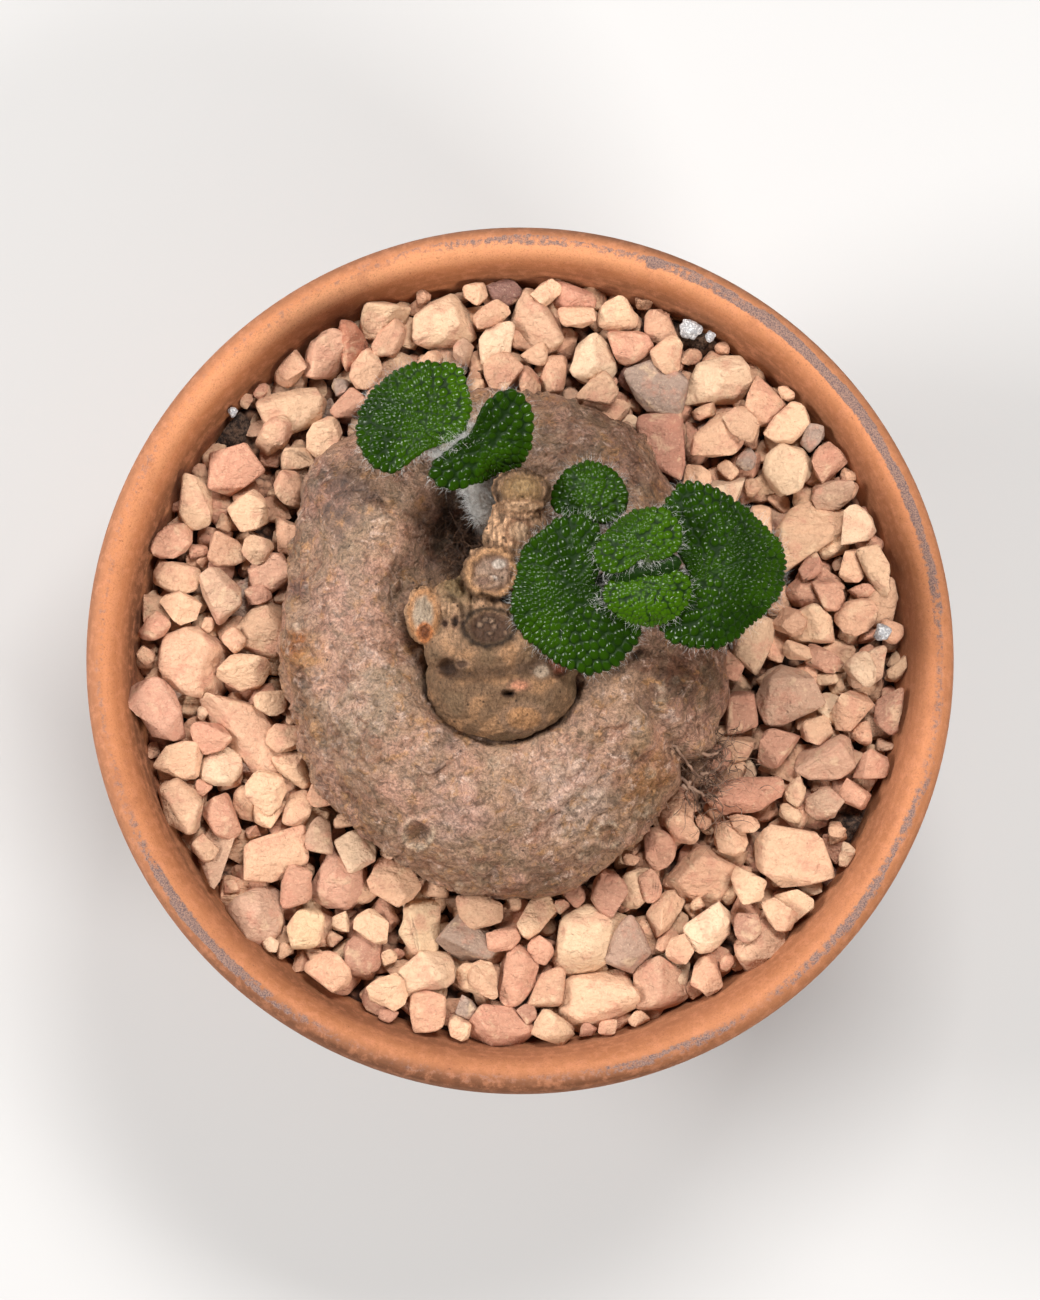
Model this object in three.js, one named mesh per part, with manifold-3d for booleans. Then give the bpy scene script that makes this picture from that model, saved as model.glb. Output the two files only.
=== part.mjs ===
// A potted Sinningia bullata: a clay bulb pan filled with soil and topped with crushed gravel, a flattened
// tuber with a sunken middle and a knobbly woody crown, and two short woolly shoots with blistered leaves.
// Millimetres, +Z up. The origin is the centre of the pan's foot, on the surface that it stands on.

import * as THREE from "three";
import { mergeVertices } from "three/addons/utils/BufferGeometryUtils.js";
import Module from "manifold-3d";

const wasm = await Module();
wasm.setup();

const TAU = 2 * Math.PI;
const CLEARANCE = 0.3; // between pieces that rest against each other

// The clay pan: a tapered wall, a thick collar and a lip that rolls down inwards.
const RIM_RADIUS = 105;
const PAN_HEIGHT = 115;
const PAN_SEGMENTS = 48;
const FOOT_RADIUS = 72;
const FOOT_BEVEL = 1.2;
const FLOOR_THICKNESS = 10;
const DRAIN_RADIUS = 8.5;
const COLLAR_BOTTOM = 84;
const COLLAR_RADIUS = 102.5; // at its lower edge
const COLLAR_BEVEL = 1.5;
const WALL_TOP_RADIUS = 95.5; // outside of the wall, just under the collar
const INNER_FLOOR_RADIUS = 64;
const INNER_TOP_RADIUS = 94; // inside of the wall, where the lip starts to roll outwards
const LIP_START = 104;
// The lip's section from outside to inside: in from the rim, and down from the top.
const LIP = [[0, 7], [0.4, 3], [1.5, 0.8], [3.4, 0], [6.2, 1.2], [8.6, 4.2]];

// Soil, and the gravel on it: a level bed with crushed stones sunk into its top.
const SOIL_TOP = 91;
const GRAVEL_BED_TOP = 100;
const GRAVEL_REACH = 110; // no stone stands higher
const STONE_SPACING = 10.8;
const STONE_SCATTER = 3;
const STONE_SIZE = 10.8; // on average
const STONE_SHAPE = [1.1, 0.8, 0.7]; // length, width and height as shares of the size
const STONE_TOP_SHARE = 0.66; // of the length and width, left at a stone's top
const STONE_STANDS_OUT = 2.6; // most that a stone's middle lies above the bed
const STONE_TILT = 0.8;
const STONE_SEED = 7;

// The tuber: a ball pushed out to the outline, raised into a ring and pressed in at the middle.
const TUBER_CENTRE = [-3.7, 3.1];
const TUBER_GIRTH_HEIGHT = 107.5; // the widest level, a little above the gravel
const TUBER_DEPTH = 31; // below its widest level
const TUBER_RISE = 33; // of its ring above its widest level
const RING_TILT = 0.13; // share of the rise that the ring loses towards its low side
const RING_LOW_SIDE = 0.9; // direction of the low side, in radians
const RING_WAVE = 0.05; // share of the rise in the ring's three swellings
const RING_WAVE_TURN = 0.6;
const SIDE_FULLNESS = 0.8; // powers that make the sides steeper than a ball's
const TOP_FULLNESS = 0.9;
const PIT_CENTRE = [-8, 13];
const PIT_RADII = [19, 30];
const PIT_DEPTH = 25;
const PIT_STEEPNESS = 1.3;
const PIT_FADES_BELOW = 0.45; // share of the rise, so that the pit leaves the widest level alone
const TUBER_DETAIL = 8;
const SOCKET_SWELL = 1; // room for the tuber in the soil and the gravel
const SOCKET_DETAIL = 5;
// Outline of the tuber, seen from above: its radius at equal steps, anticlockwise from +X.
const TUBER_OUTLINE = [54, 55, 55.6, 61.5, 61.5, 62.4, 63, 55, 53.4, 53.6, 55.6, 58.2, 61, 59.6, 53, 54.2];
// The groove where the ring's front lobe has grown against the one on the right.
const CREASE = { from: [29, -11.6, 136], to: [43, -30.4, 111], halfWidth: 2.4, depth: 5 };

// The woody crown in the pit. Its trunk runs from the front to the neck at the back, and is given at equal
// steps: a middle point, half its width and half its height.
const TRUNK = [
  { at: [-6.4, -9, 129], half: [13, 15] },
  { at: [-6.4, 0.5, 129], half: [15.6, 18.6] },
  { at: [-6.6, 10, 128.5], half: [11.6, 17.2] },
  { at: [-5.6, 18.5, 129], half: [9.8, 17.4] },
  { at: [-1.6, 28, 131], half: [7.4, 18.4] },
  { at: [0.4, 43.5, 135], half: [9, 18.4] },
];
const TRUNK_END_BLUNTNESS = 0.4;
// On the trunk are the swelling at its foot, the stub of a side shoot, and the knob that ends the neck.
const CROWN_LUMPS = [
  { at: [-4.6, -8, 128.5], radii: [17.4, 12.3, 13.2] },
  { at: [-20.6, 8.4, 137], radii: [4.6, 5.8, 5.6] },
  { at: [0.4, 36.3, 146.4], radii: [6.5, 6.3, 4.6] },
];
const STEM_SCARS = [
  { at: [-7.8, 5.4, 147.4], radius: 4.7, depth: 1.5 },
  { at: [-6.4, 18, 146.6], radius: 5.2, depth: 1.3 },
  { at: [-25, 8.6, 138], radius: 3.6, depth: 1.4 },
];

// Old root strands that come out of the crease and dip towards the gravel.
const ROOT_RADIUS = 0.7;
const ROOT_STRANDS = [
  [[33.6, -17.6, 127], [37.2, -22, 123.2], [41, -26.6, 116.4], [44.2, -29, 111.6], [47.6, -30.6, 109.6]],
  [[40, -21, 117], [45, -23.4, 115], [48.4, -22, 111.4], [50.4, -18.6, 109.8]],
  [[37, -27, 114], [41.6, -32, 113], [43, -36.6, 109.8]],
];

// Two woolly shoots rise from the pit, one leaning to the back left and one to the right.
const SHOOT_RADIUS = 3;
const SHOOT_END_SWELLS = 1.2;
const SHOOTS = {
  left: [[-6.4, 27, 114], [-7.8, 32, 124], [-9.8, 41, 136], [-14, 50.2, 144]],
  right: [[10, 9, 120], [15, 12, 132], [23.4, 16.2, 141], [29.8, 20, 149.5]],
};

// Leaves. middle is the middle of the blade, and outline its radii from there at equal steps, anticlockwise
// from +X. foot is the direction, in degrees, of the notch where the stalk comes in. rise is the slope
// towards the tip, bank the slope across it, droop how far the edge hangs at the tip, and cup how far the
// lobes by the foot stand up. ripple waves the edge, and rings is how fine the net of blisters is.
const BLADE_THICKNESS = 1.1;
const BLISTER_HEIGHT = 1.1;
const STALK_RADIUS = 1.3;
// The stalk meets the blade just outside its notch and ends under it: shares of the radius there, and depths.
const STALK_MEETS = { out: 1.05, depth: 1.5 };
const STALK_ENDS = { out: 0.45, depth: 1 };
const EDGE_CURL = 2.5; // power of the distance out with which the edge hangs
const EDGE_WAVES = 5;
const LEAVES = {
  left_leaf_large: {
    shoot: "left", middle: [-25.3, 55.1, 147], foot: 315,
    outline: [12.8, 14.2, 16.2, 14, 12.5, 11.6, 11.1, 11.6, 12.6, 13.6, 14.7, 14.7, 10.2, 8.3, 8.2, 10.4],
    rise: 0.02, bank: 0.04, droop: 6, cup: 2.4, ripple: 0.7, phase: 1, rings: 6,
  },
  left_leaf_folded: {
    shoot: "left", middle: [-7.8, 47.5, 146.6], foot: 135,
    outline: [9.9, 11.7, 14.5, 15.1, 10.6, 6.5, 5.3, 5.6, 8.5, 14.6, 13.5, 8.8, 6.6, 5.9, 6.6, 8.3],
    rise: -0.3, bank: 0, droop: 2.6, cup: 0.6, ripple: 0.5, phase: 0, rings: 5,
  },
  right_leaf_small: {
    shoot: "right", middle: [16.3, 37.1, 146.6], foot: 305,
    outline: [9, 8.1, 7.5, 7.2, 7.3, 7.4, 7.5, 7.8, 8.7, 9.5, 7.6, 6.5, 6.6, 8, 9.1, 9.4],
    rise: -0.04, bank: 0, droop: 3, cup: 0, ripple: 0.4, phase: 2, rings: 4,
  },
  right_leaf_near: {
    shoot: "right", middle: [10.4, 13, 149.6], foot: 24,
    outline: [11.6, 7.6, 12.5, 18.2, 18.1, 15.6, 14.1, 11.9, 12.1, 13, 13.2, 13.9, 16.6, 19.8, 20.3, 19.4],
    rise: -0.03, bank: -0.14, droop: 3.4, cup: 0.4, ripple: 0.8, phase: 3, rings: 7,
  },
  right_leaf_far: {
    shoot: "right", middle: [47.9, 19.3, 150], foot: 191,
    outline: [14, 14.3, 13.6, 14.7, 17.1, 21.7, 20.2, 12.9, 9.2, 10, 21, 20.1, 17.8, 14.3, 13.8, 14.1],
    rise: -0.04, bank: 0.04, droop: 5.5, cup: -0.5, ripple: 0.8, phase: 5, rings: 7,
  },
  right_leaf_young_back: {
    shoot: "right", middle: [27.3, 25.3, 155.8], foot: 298,
    outline: [10.2, 10.4, 10, 8.2, 7, 6.3, 6.1, 6.8, 8.6, 10.8, 10.6, 7.6, 5, 4.8, 6.8, 8.8],
    rise: 0.06, bank: 0, droop: 4.2, cup: 0.8, ripple: 0.3, phase: 1, rings: 4,
  },
  right_leaf_young_front: {
    shoot: "right", middle: [29.5, 12.2, 154.8], foot: 86,
    outline: [9.9, 10.6, 9, 6, 5.2, 5.2, 6.4, 9.1, 10.1, 8.3, 7, 6.3, 6.6, 6.5, 7.4, 8.5],
    rise: 0.1, bank: 0, droop: 4.4, cup: -1.2, ripple: 0.3, phase: 4, rings: 4,
  },
};

// Materials
const clay = new THREE.MeshStandardMaterial({ color: 0xc98460, roughness: 0.85, metalness: 0 });
const earth = new THREE.MeshStandardMaterial({ color: 0x2e211a, roughness: 1, metalness: 0 });
const stones = new THREE.MeshStandardMaterial({ color: 0xd9a98a, roughness: 0.9, metalness: 0 });
const bark = new THREE.MeshStandardMaterial({ color: 0x9d7a63, roughness: 0.8, metalness: 0 });
const wool = new THREE.MeshStandardMaterial({ color: 0xb9b0a2, roughness: 1, metalness: 0 });
const leafGreen = new THREE.MeshStandardMaterial({ color: 0x2f5410, roughness: 0.35, metalness: 0 });

// A closed geometry as a solid that can be cut and joined.
function solidOf(geometry) {
  const bare = geometry.clone();
  bare.deleteAttribute("normal");
  bare.deleteAttribute("uv");
  const merged = mergeVertices(bare, 1e-3);
  return new wasm.Manifold(
    new wasm.Mesh({
      numProp: 3,
      vertProperties: new Float32Array(merged.attributes.position.array),
      triVerts: new Uint32Array(merged.index.array),
    }),
  );
}

// A solid as a geometry to show. A loose scrap that a cut leaves is dropped.
function geometryOf(solid) {
  const whole = solid.decompose().sort((a, b) => b.volume() - a.volume())[0];
  const mesh = whole.getMesh();
  const geometry = new THREE.BufferGeometry();
  geometry.setAttribute("position", new THREE.BufferAttribute(mesh.vertProperties, mesh.numProp));
  geometry.setIndex(new THREE.BufferAttribute(mesh.triVerts, 1));
  geometry.computeVertexNormals();
  return geometry;
}

const join = (solids) => wasm.Manifold.union(solids);
const vectors = (points) => points.map((point) => new THREE.Vector3(...point));

// A body turned round the vertical axis from [radius, height] points.
function turned(profile, segments) {
  const points = profile.map(([radius, height]) => new THREE.Vector2(radius, height));
  return new THREE.LatheGeometry(points, segments).rotateX(Math.PI / 2);
}

function ball(middle, radii, around, up) {
  const geometry = new THREE.SphereGeometry(1, around, up).rotateX(Math.PI / 2);
  return solidOf(geometry.scale(...radii).translate(...middle));
}

// A round rod along a smooth path.
function rod(path, radius, steps, quarters) {
  const section = new THREE.Shape().absarc(0, 0, radius, 0, TAU);
  const extrudePath = new THREE.CatmullRomCurve3(path);
  const options = { steps, curveSegments: quarters, extrudePath, bevelEnabled: false };
  return solidOf(new THREE.ExtrudeGeometry(section, options));
}

// Repeatable random numbers from 0 to 1, by the mulberry32 rule.
function seededRandom(seed) {
  let state = seed;
  return () => {
    state = (state + 0x6d2b79f5) | 0;
    let mixed = Math.imul(state ^ (state >>> 15), 1 | state);
    mixed = (mixed + Math.imul(mixed ^ (mixed >>> 7), 61 | mixed)) ^ mixed;
    return ((mixed ^ (mixed >>> 14)) >>> 0) / 2 ** 32;
  };
}

// A smooth closed outline through radii that are given at equal steps of angle.
function outlineRadius(radii, angle) {
  const count = radii.length;
  const place = (((angle / TAU) % 1) + 1) * count;
  const index = Math.floor(place);
  const t = place - index;
  const [a, b, c, d] = [-1, 0, 1, 2].map((step) => radii[(index + step) % count]);
  return b + 0.5 * t * (c - a + t * (2 * a - 5 * b + 4 * c - d + t * (3 * (b - c) + d - a)));
}

function panGeometry() {
  return turned(
    [
      [DRAIN_RADIUS, 0],
      [FOOT_RADIUS - FOOT_BEVEL, 0],
      [FOOT_RADIUS, FOOT_BEVEL],
      [WALL_TOP_RADIUS, COLLAR_BOTTOM - COLLAR_BEVEL],
      [COLLAR_RADIUS - COLLAR_BEVEL, COLLAR_BOTTOM],
      [COLLAR_RADIUS, COLLAR_BOTTOM + COLLAR_BEVEL],
      ...LIP.map(([inwards, down]) => [RIM_RADIUS - inwards, PAN_HEIGHT - down]),
      [INNER_TOP_RADIUS, LIP_START],
      [INNER_FLOOR_RADIUS, FLOOR_THICKNESS],
      [DRAIN_RADIUS, FLOOR_THICKNESS],
      [DRAIN_RADIUS, 0],
    ],
    PAN_SEGMENTS,
  );
}

// What lies in the pan between two levels, clear of its wall.
function filling(bottom, top) {
  const edgeAt = (height) => {
    const share = (height - FLOOR_THICKNESS) / (LIP_START - FLOOR_THICKNESS);
    return [THREE.MathUtils.lerp(INNER_FLOOR_RADIUS, INNER_TOP_RADIUS, share) - CLEARANCE, height];
  };
  return solidOf(turned([[0, bottom], edgeAt(bottom), edgeAt(top), [0, top]], PAN_SEGMENTS));
}

function ringHeight(angle) {
  const tilt = RING_TILT * Math.cos(angle - RING_LOW_SIDE);
  const wave = RING_WAVE * Math.cos(3 * angle + RING_WAVE_TURN);
  return TUBER_RISE * (1 - tilt + wave);
}

function pitDepth(x, y) {
  const across = (x - PIT_CENTRE[0]) / PIT_RADII[0];
  const along = (y - PIT_CENTRE[1]) / PIT_RADII[1];
  return PIT_DEPTH * Math.exp(-((across * across + along * along) ** PIT_STEEPNESS));
}

// The point of the tuber's skin in a direction from its middle, swollen by some amount.
function tuberPoint(direction, swell) {
  const flat = Math.hypot(direction.x, direction.y);
  const angle = Math.atan2(direction.y, direction.x);
  const radius = (outlineRadius(TUBER_OUTLINE, angle) + swell) * flat ** SIDE_FULLNESS;
  const x = TUBER_CENTRE[0] + radius * Math.cos(angle);
  const y = TUBER_CENTRE[1] + radius * Math.sin(angle);
  const level = Math.abs(direction.z) ** TOP_FULLNESS;
  if (direction.z < 0) {
    return [x, y, TUBER_GIRTH_HEIGHT - (TUBER_DEPTH + swell) * level];
  }
  const onTop = THREE.MathUtils.smoothstep(direction.z, 0, PIT_FADES_BELOW);
  return [x, y, TUBER_GIRTH_HEIGHT + (ringHeight(angle) + swell) * level - onTop * pitDepth(x, y)];
}

function tuberBody(detail, swell) {
  const geometry = new THREE.IcosahedronGeometry(1, detail);
  const positions = geometry.getAttribute("position");
  const direction = new THREE.Vector3();
  for (let i = 0; i < positions.count; i++) {
    direction.fromBufferAttribute(positions, i).normalize();
    positions.setXYZ(i, ...tuberPoint(direction, swell));
  }
  return solidOf(geometry);
}

function crease() {
  const [from, to] = vectors([CREASE.from, CREASE.to]);
  const along = to.clone().sub(from);
  const wedge = new THREE.SphereGeometry(1, 8, 8).scale(CREASE.depth, along.length() / 2, CREASE.halfWidth);
  along.normalize();
  const across = new THREE.Vector3(along.y, -along.x, 0).normalize();
  const out = along.clone().cross(across);
  const middle = from.lerp(to, 0.5);
  wedge.applyMatrix4(new THREE.Matrix4().makeBasis(out, along, across).setPosition(middle));
  return solidOf(wedge);
}

function trunk() {
  const spine = new THREE.CatmullRomCurve3(vectors(TRUNK.map(({ at }) => at)));
  const girth = new THREE.CatmullRomCurve3(vectors(TRUNK.map(({ half }) => [...half, 0])));
  const geometry = new THREE.SphereGeometry(1, 14, 13);
  const positions = geometry.getAttribute("position");
  const point = new THREE.Vector3();
  for (let i = 0; i < positions.count; i++) {
    point.fromBufferAttribute(positions, i);
    const share = Math.acos(THREE.MathUtils.clamp(-point.y, -1, 1)) / Math.PI;
    const middle = spine.getPoint(share);
    const half = girth.getPoint(share);
    const flat = Math.max(Math.hypot(point.x, point.z), 1e-6);
    const reach = flat ** TRUNK_END_BLUNTNESS / flat;
    positions.setXYZ(i, middle.x + point.x * reach * half.x, middle.y, middle.z + point.z * reach * half.y);
  }
  return solidOf(geometry);
}

function crown() {
  const lumps = CROWN_LUMPS.map(({ at, radii }) => ball(at, radii, 12, 8));
  const scars = STEM_SCARS.map(({ at, radius, depth }) => ball(at, [radius, radius, depth], 10, 6));
  return join([trunk(), ...lumps]).subtract(join(scars));
}

function tuber() {
  const roots = ROOT_STRANDS.map((path) => rod(vectors(path), ROOT_RADIUS, 5, 3));
  const sockets = Object.values(SHOOTS).map((path) => shoot(path, CLEARANCE));
  return join([tuberBody(TUBER_DETAIL, 0).subtract(crease()), crown(), ...roots]).subtract(join(sockets));
}

function shoot(path, swell) {
  const radius = SHOOT_RADIUS + swell;
  const ends = [path[0], path.at(-1)].map((at) => ball(at, Array(3).fill(SHOOT_END_SWELLS * radius), 8, 5));
  return join([rod(vectors(path), radius, 6, 5), ...ends]);
}

// A leaf blade starts as a six-sided net of triangles on a unit disc.
// Every third net point stands up as a blister, so each blister is ringed by six low points.
function leafNet(rings) {
  const points = [{ p: 0, q: 0, blister: true }];
  const rows = [[0]];
  const steps = [[0, -1], [-1, 0], [-1, 1], [0, 1], [1, 0], [1, -1]];
  for (let ring = 1; ring <= rings; ring++) {
    const row = [];
    let a = ring;
    let b = 0;
    steps.forEach(([stepA, stepB], side) => {
      for (let i = 0; i < ring; i++) {
        const out = ring / rings;
        const angle = -((side + i / ring) / steps.length) * TAU;
        row.push(points.length);
        points.push({ p: out * Math.cos(angle), q: out * Math.sin(angle), blister: (a - b) % 3 === 0 });
        a += stepA;
        b += stepB;
      }
    });
    rows.push(row);
  }
  const triangles = [];
  for (let ring = 1; ring <= rings; ring++) {
    const outer = rows[ring];
    const inner = rows[ring - 1];
    for (let side = 0; side < steps.length; side++) {
      for (let i = 0; i < ring; i++) {
        const first = outer[side * ring + i];
        const next = outer[(side * ring + i + 1) % outer.length];
        const within = inner[(side * (ring - 1) + i) % inner.length];
        triangles.push([first, within, next]);
        if (i < ring - 1) {
          triangles.push([within, inner[(side * (ring - 1) + i + 1) % inner.length], next]);
        }
      }
    }
  }
  return { points, triangles, edge: rows[rings] };
}

// The middle surface of a blade at disc point p, q, before blisters.
function bladePoint(leaf, p, q) {
  const out = Math.hypot(p, q);
  const angle = Math.atan2(q, p);
  const fromTip = angle - THREE.MathUtils.degToRad(leaf.foot + 180);
  const radius = out * outlineRadius(leaf.outline, angle);
  const slope = radius * (leaf.rise * Math.cos(fromTip) + leaf.bank * Math.sin(fromTip));
  const tipShare = 0.5 + 0.5 * Math.cos(fromTip);
  const curl = out ** EDGE_CURL * (leaf.cup * (1 - tipShare) - leaf.droop * tipShare);
  const wave = leaf.ripple * out ** 3 * Math.sin(EDGE_WAVES * angle + leaf.phase);
  const [x, y, z] = leaf.middle;
  const height = z + slope + curl + wave;
  return new THREE.Vector3(x + radius * Math.cos(angle), y + radius * Math.sin(angle), height);
}

function bladeNormal(leaf, p, q) {
  const step = 0.05;
  const alongP = bladePoint(leaf, p + step, q).sub(bladePoint(leaf, p - step, q));
  const alongQ = bladePoint(leaf, p, q + step).sub(bladePoint(leaf, p, q - step));
  return alongP.cross(alongQ).normalize();
}

function blade(leaf) {
  const { points, triangles, edge } = leafNet(leaf.rings);
  const widest = Math.max(...leaf.outline);
  const faceAt = (side) =>
    points.flatMap(({ p, q, blister }) => {
      const closeness = outlineRadius(leaf.outline, Math.atan2(q, p)) / widest;
      const raised = blister ? BLISTER_HEIGHT * Math.min(1, 2 * closeness ** 2) : 0;
      const offset = raised + (side * BLADE_THICKNESS) / 2;
      return bladePoint(leaf, p, q).addScaledVector(bladeNormal(leaf, p, q), offset).toArray();
    });
  const below = points.length; // first point of the lower face
  const faces = triangles.flatMap(([a, b, c]) => [a, b, c, below + a, below + c, below + b]);
  edge.forEach((a, i) => {
    const b = edge[(i + 1) % edge.length];
    faces.push(a, b, below + a, b, below + b, below + a);
  });
  const geometry = new THREE.BufferGeometry();
  geometry.setAttribute("position", new THREE.Float32BufferAttribute([...faceAt(1), ...faceAt(-1)], 3));
  geometry.setIndex(faces);
  return solidOf(geometry);
}

// A stalk runs from the tip of its shoot to the blade's foot, and on under the blade.
function stalk(leaf) {
  const angle = THREE.MathUtils.degToRad(leaf.foot);
  const under = ({ out, depth }) => {
    const point = bladePoint(leaf, out * Math.cos(angle), out * Math.sin(angle));
    return point.setZ(point.z - depth);
  };
  const joint = new THREE.Vector3(...SHOOTS[leaf.shoot].at(-1));
  return rod([joint, under(STALK_MEETS), under(STALK_ENDS)], STALK_RADIUS, 4, 3);
}

function wholeLeaf(leaf) {
  return blade(leaf).add(stalk(leaf)).subtract(shoot(SHOOTS[leaf.shoot], CLEARANCE));
}

function crushedStone(random, x, y) {
  const size = STONE_SIZE * (0.75 + 0.45 * random());
  const box = new THREE.BoxGeometry(...STONE_SHAPE.map((share) => share * size));
  const geometry = mergeVertices(box.deleteAttribute("normal").deleteAttribute("uv"), 1e-3);
  const positions = geometry.getAttribute("position");
  for (let i = 0; i < positions.count; i++) {
    const narrowing = positions.getZ(i) > 0 ? STONE_TOP_SHARE : 1;
    const [across, along, up] = [narrowing, narrowing, 1].map((share) => share * (0.75 + 0.4 * random()));
    positions.setXYZ(i, positions.getX(i) * across, positions.getY(i) * along, positions.getZ(i) * up);
  }
  geometry.rotateX((random() - 0.5) * STONE_TILT);
  geometry.rotateY((random() - 0.5) * STONE_TILT);
  geometry.rotateZ(random() * TAU);
  geometry.translate(x, y, GRAVEL_BED_TOP + STONE_STANDS_OUT * (0.3 + 0.7 * random()));
  return solidOf(geometry);
}

// Stones in staggered rows, between the tuber's skin and the pan's wall.
function gravelStones() {
  const random = seededRandom(STONE_SEED);
  const found = [];
  const rowHeight = STONE_SPACING * Math.sqrt(0.75);
  const reach = Math.ceil(INNER_TOP_RADIUS / rowHeight);
  for (let row = -reach; row <= reach; row++) {
    for (let column = -reach; column <= reach; column++) {
      const x = (column + (row % 2) / 2) * STONE_SPACING + (random() - 0.5) * STONE_SCATTER;
      const y = row * rowHeight + (random() - 0.5) * STONE_SCATTER;
      const [dx, dy] = [x - TUBER_CENTRE[0], y - TUBER_CENTRE[1]];
      const skin = outlineRadius(TUBER_OUTLINE, Math.atan2(dy, dx));
      const clearOfTuber = Math.hypot(dx, dy) > skin + STONE_SCATTER / 2;
      if (clearOfTuber && Math.hypot(x, y) < INNER_TOP_RADIUS - STONE_SCATTER) {
        found.push(crushedStone(random, x, y));
      }
    }
  }
  return found;
}

// Assembly
const group = new THREE.Group();

function add(name, geometry, material) {
  const mesh = new THREE.Mesh(geometry, material);
  mesh.name = name;
  group.add(mesh);
}

const tuberSocket = tuberBody(SOCKET_DETAIL, SOCKET_SWELL);
const soil = filling(FLOOR_THICKNESS + CLEARANCE, SOIL_TOP).subtract(tuberSocket);
const gravelSpace = filling(SOIL_TOP + CLEARANCE, GRAVEL_REACH).subtract(tuberSocket);
const gravelBed = filling(SOIL_TOP + CLEARANCE, GRAVEL_BED_TOP);

add("pan", panGeometry(), clay);
add("soil", geometryOf(soil), earth);
add("gravel", geometryOf(join([gravelBed, ...gravelStones()]).intersect(gravelSpace)), stones);
add("tuber", geometryOf(tuber()), bark);
for (const [side, path] of Object.entries(SHOOTS)) {
  add(side + "_stem", geometryOf(shoot(path, 0)), wool);
}
for (const [name, leaf] of Object.entries(LEAVES)) {
  add(name, geometryOf(wholeLeaf(leaf)), leafGreen);
}

export default group;
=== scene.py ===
# A potted Sinningia bullata, seen from above: a clay bulb pan with a gravel top dressing, a flattened tuber
# with a knobbly woody crown, and two short woolly shoots with blistered leaves.
# Lengths are millimetres until a mesh becomes an object, which is in metres.

import math

import bmesh
import bpy
import numpy as np
from mathutils import Matrix, Vector, noise


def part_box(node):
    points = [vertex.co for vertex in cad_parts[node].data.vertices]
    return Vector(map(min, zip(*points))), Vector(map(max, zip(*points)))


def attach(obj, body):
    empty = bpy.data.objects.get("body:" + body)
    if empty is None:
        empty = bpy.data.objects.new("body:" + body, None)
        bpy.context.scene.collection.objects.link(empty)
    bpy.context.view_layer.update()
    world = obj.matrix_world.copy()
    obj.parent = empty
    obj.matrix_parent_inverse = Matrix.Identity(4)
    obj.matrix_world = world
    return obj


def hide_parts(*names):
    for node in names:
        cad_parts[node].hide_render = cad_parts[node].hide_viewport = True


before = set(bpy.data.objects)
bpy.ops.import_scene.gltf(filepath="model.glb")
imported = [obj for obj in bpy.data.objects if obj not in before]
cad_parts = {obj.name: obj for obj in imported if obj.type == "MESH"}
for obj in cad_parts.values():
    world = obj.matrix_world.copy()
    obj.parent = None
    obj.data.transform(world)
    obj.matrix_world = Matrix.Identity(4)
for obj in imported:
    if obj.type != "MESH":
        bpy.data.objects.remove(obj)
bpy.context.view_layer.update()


# The pan: red clay, thrown on a wheel, fired once and left unglazed. It has a thick collar, and a lip that
# rolls down inwards. Stacking and scrubbing have worn a grey line along the top of the lip.
MM = 0.001
TURN = 2 * math.pi
RIM_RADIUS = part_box("pan")[1].x / MM
PAN_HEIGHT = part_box("pan")[1].z / MM
FOOT_RADIUS = 72
FLOOR_THICKNESS = 10
DRAIN_RADIUS = 8.5
COLLAR_BOTTOM = 84
COLLAR_RADIUS = 102.5
WALL_TOP_RADIUS = 95.5
INNER_FLOOR_RADIUS = 64
INNER_TOP_RADIUS = 94
LIP_START = 104
PAN_STEPS = 288  # round the turned pan
LIP = [(0, 7), (0.4, 3), (1.5, 0.8), (3.4, 0), (6.2, 1.2), (8.6, 4.2)]  # in from the rim, down from the top
WEAR_RADIUS = 101.2
WEAR_HALF_WIDTH = 1.3
WEAR_DEPTH = 4  # how far down from the top of the lip the wear can show
# Where the wear is strongest: direction in degrees, how far it spreads, and how strong it is.
WEAR_STRETCHES = [(45, 26, 1.1), (20, 12, 0.7), (-33, 16, 0.7), (-70, 9, 0.6), (92, 10, 0.5), (220, 14, 1.1)]
WEAR_FAINT = 0.25  # everywhere else
CHIP = (32.4, 95.6)  # a dark chip in the lip
CHIP_REACH = 1.2
# Painted shade and painted light on the clay, where it is darker or paler: direction in degrees and how far
# it spreads, radius and how far it spreads, and how strong the painted shade is, or the painted light below
# 0.
CLAY_SHADE_AND_LIGHT = [
    (0, 900, 103, 2.5, 0.37),
    (0, 900, 94, 2.2, 0.33),
    (262, 50, 102.6, 3.2, 0.75),
    (90, 32, 103.6, 2.2, 0.45),
    (160, 40, 103.6, 2.2, 0.25),
    (110, 50, 99.5, 3, -0.7),
    (60, 34, 93.5, 2.2, 0.45),
    (180, 60, 94, 2.4, 0.7),
    (270, 35, 94, 2.4, 0.2),
]


def curve_between(t, a, b, c, d):
    """The place at share t of the smooth curve from b to c, which comes from a and runs on to d."""
    return b + 0.5 * t * (c - a + t * (2 * a - 5 * b + 4 * c - d + t * (3 * (b - c) + d - a)))


def curve_through(points, steps):
    """Evenly spaced points on the smooth curve that passes through the given ones."""
    knots = np.array(points, float)
    knots = np.vstack([2 * knots[0] - knots[1], knots, 2 * knots[-1] - knots[-2]])
    found = []
    for place in np.linspace(0, len(points) - 1, steps + 1):
        index = min(int(place), len(points) - 2)
        found.append(curve_between(place - index, *knots[index:index + 4]))
    return np.array(found)


def smooth_step(values, low, high):
    """Runs softly from 0 at the low value to 1 at the high one."""
    share = np.clip((np.asarray(values) - low) / (high - low), 0, 1)
    return share * share * (3 - 2 * share)


def bell(away, width=1):
    """1 in the middle, and falls off softly to about a third at the width."""
    return np.exp(-(away / width) ** 2)


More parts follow.
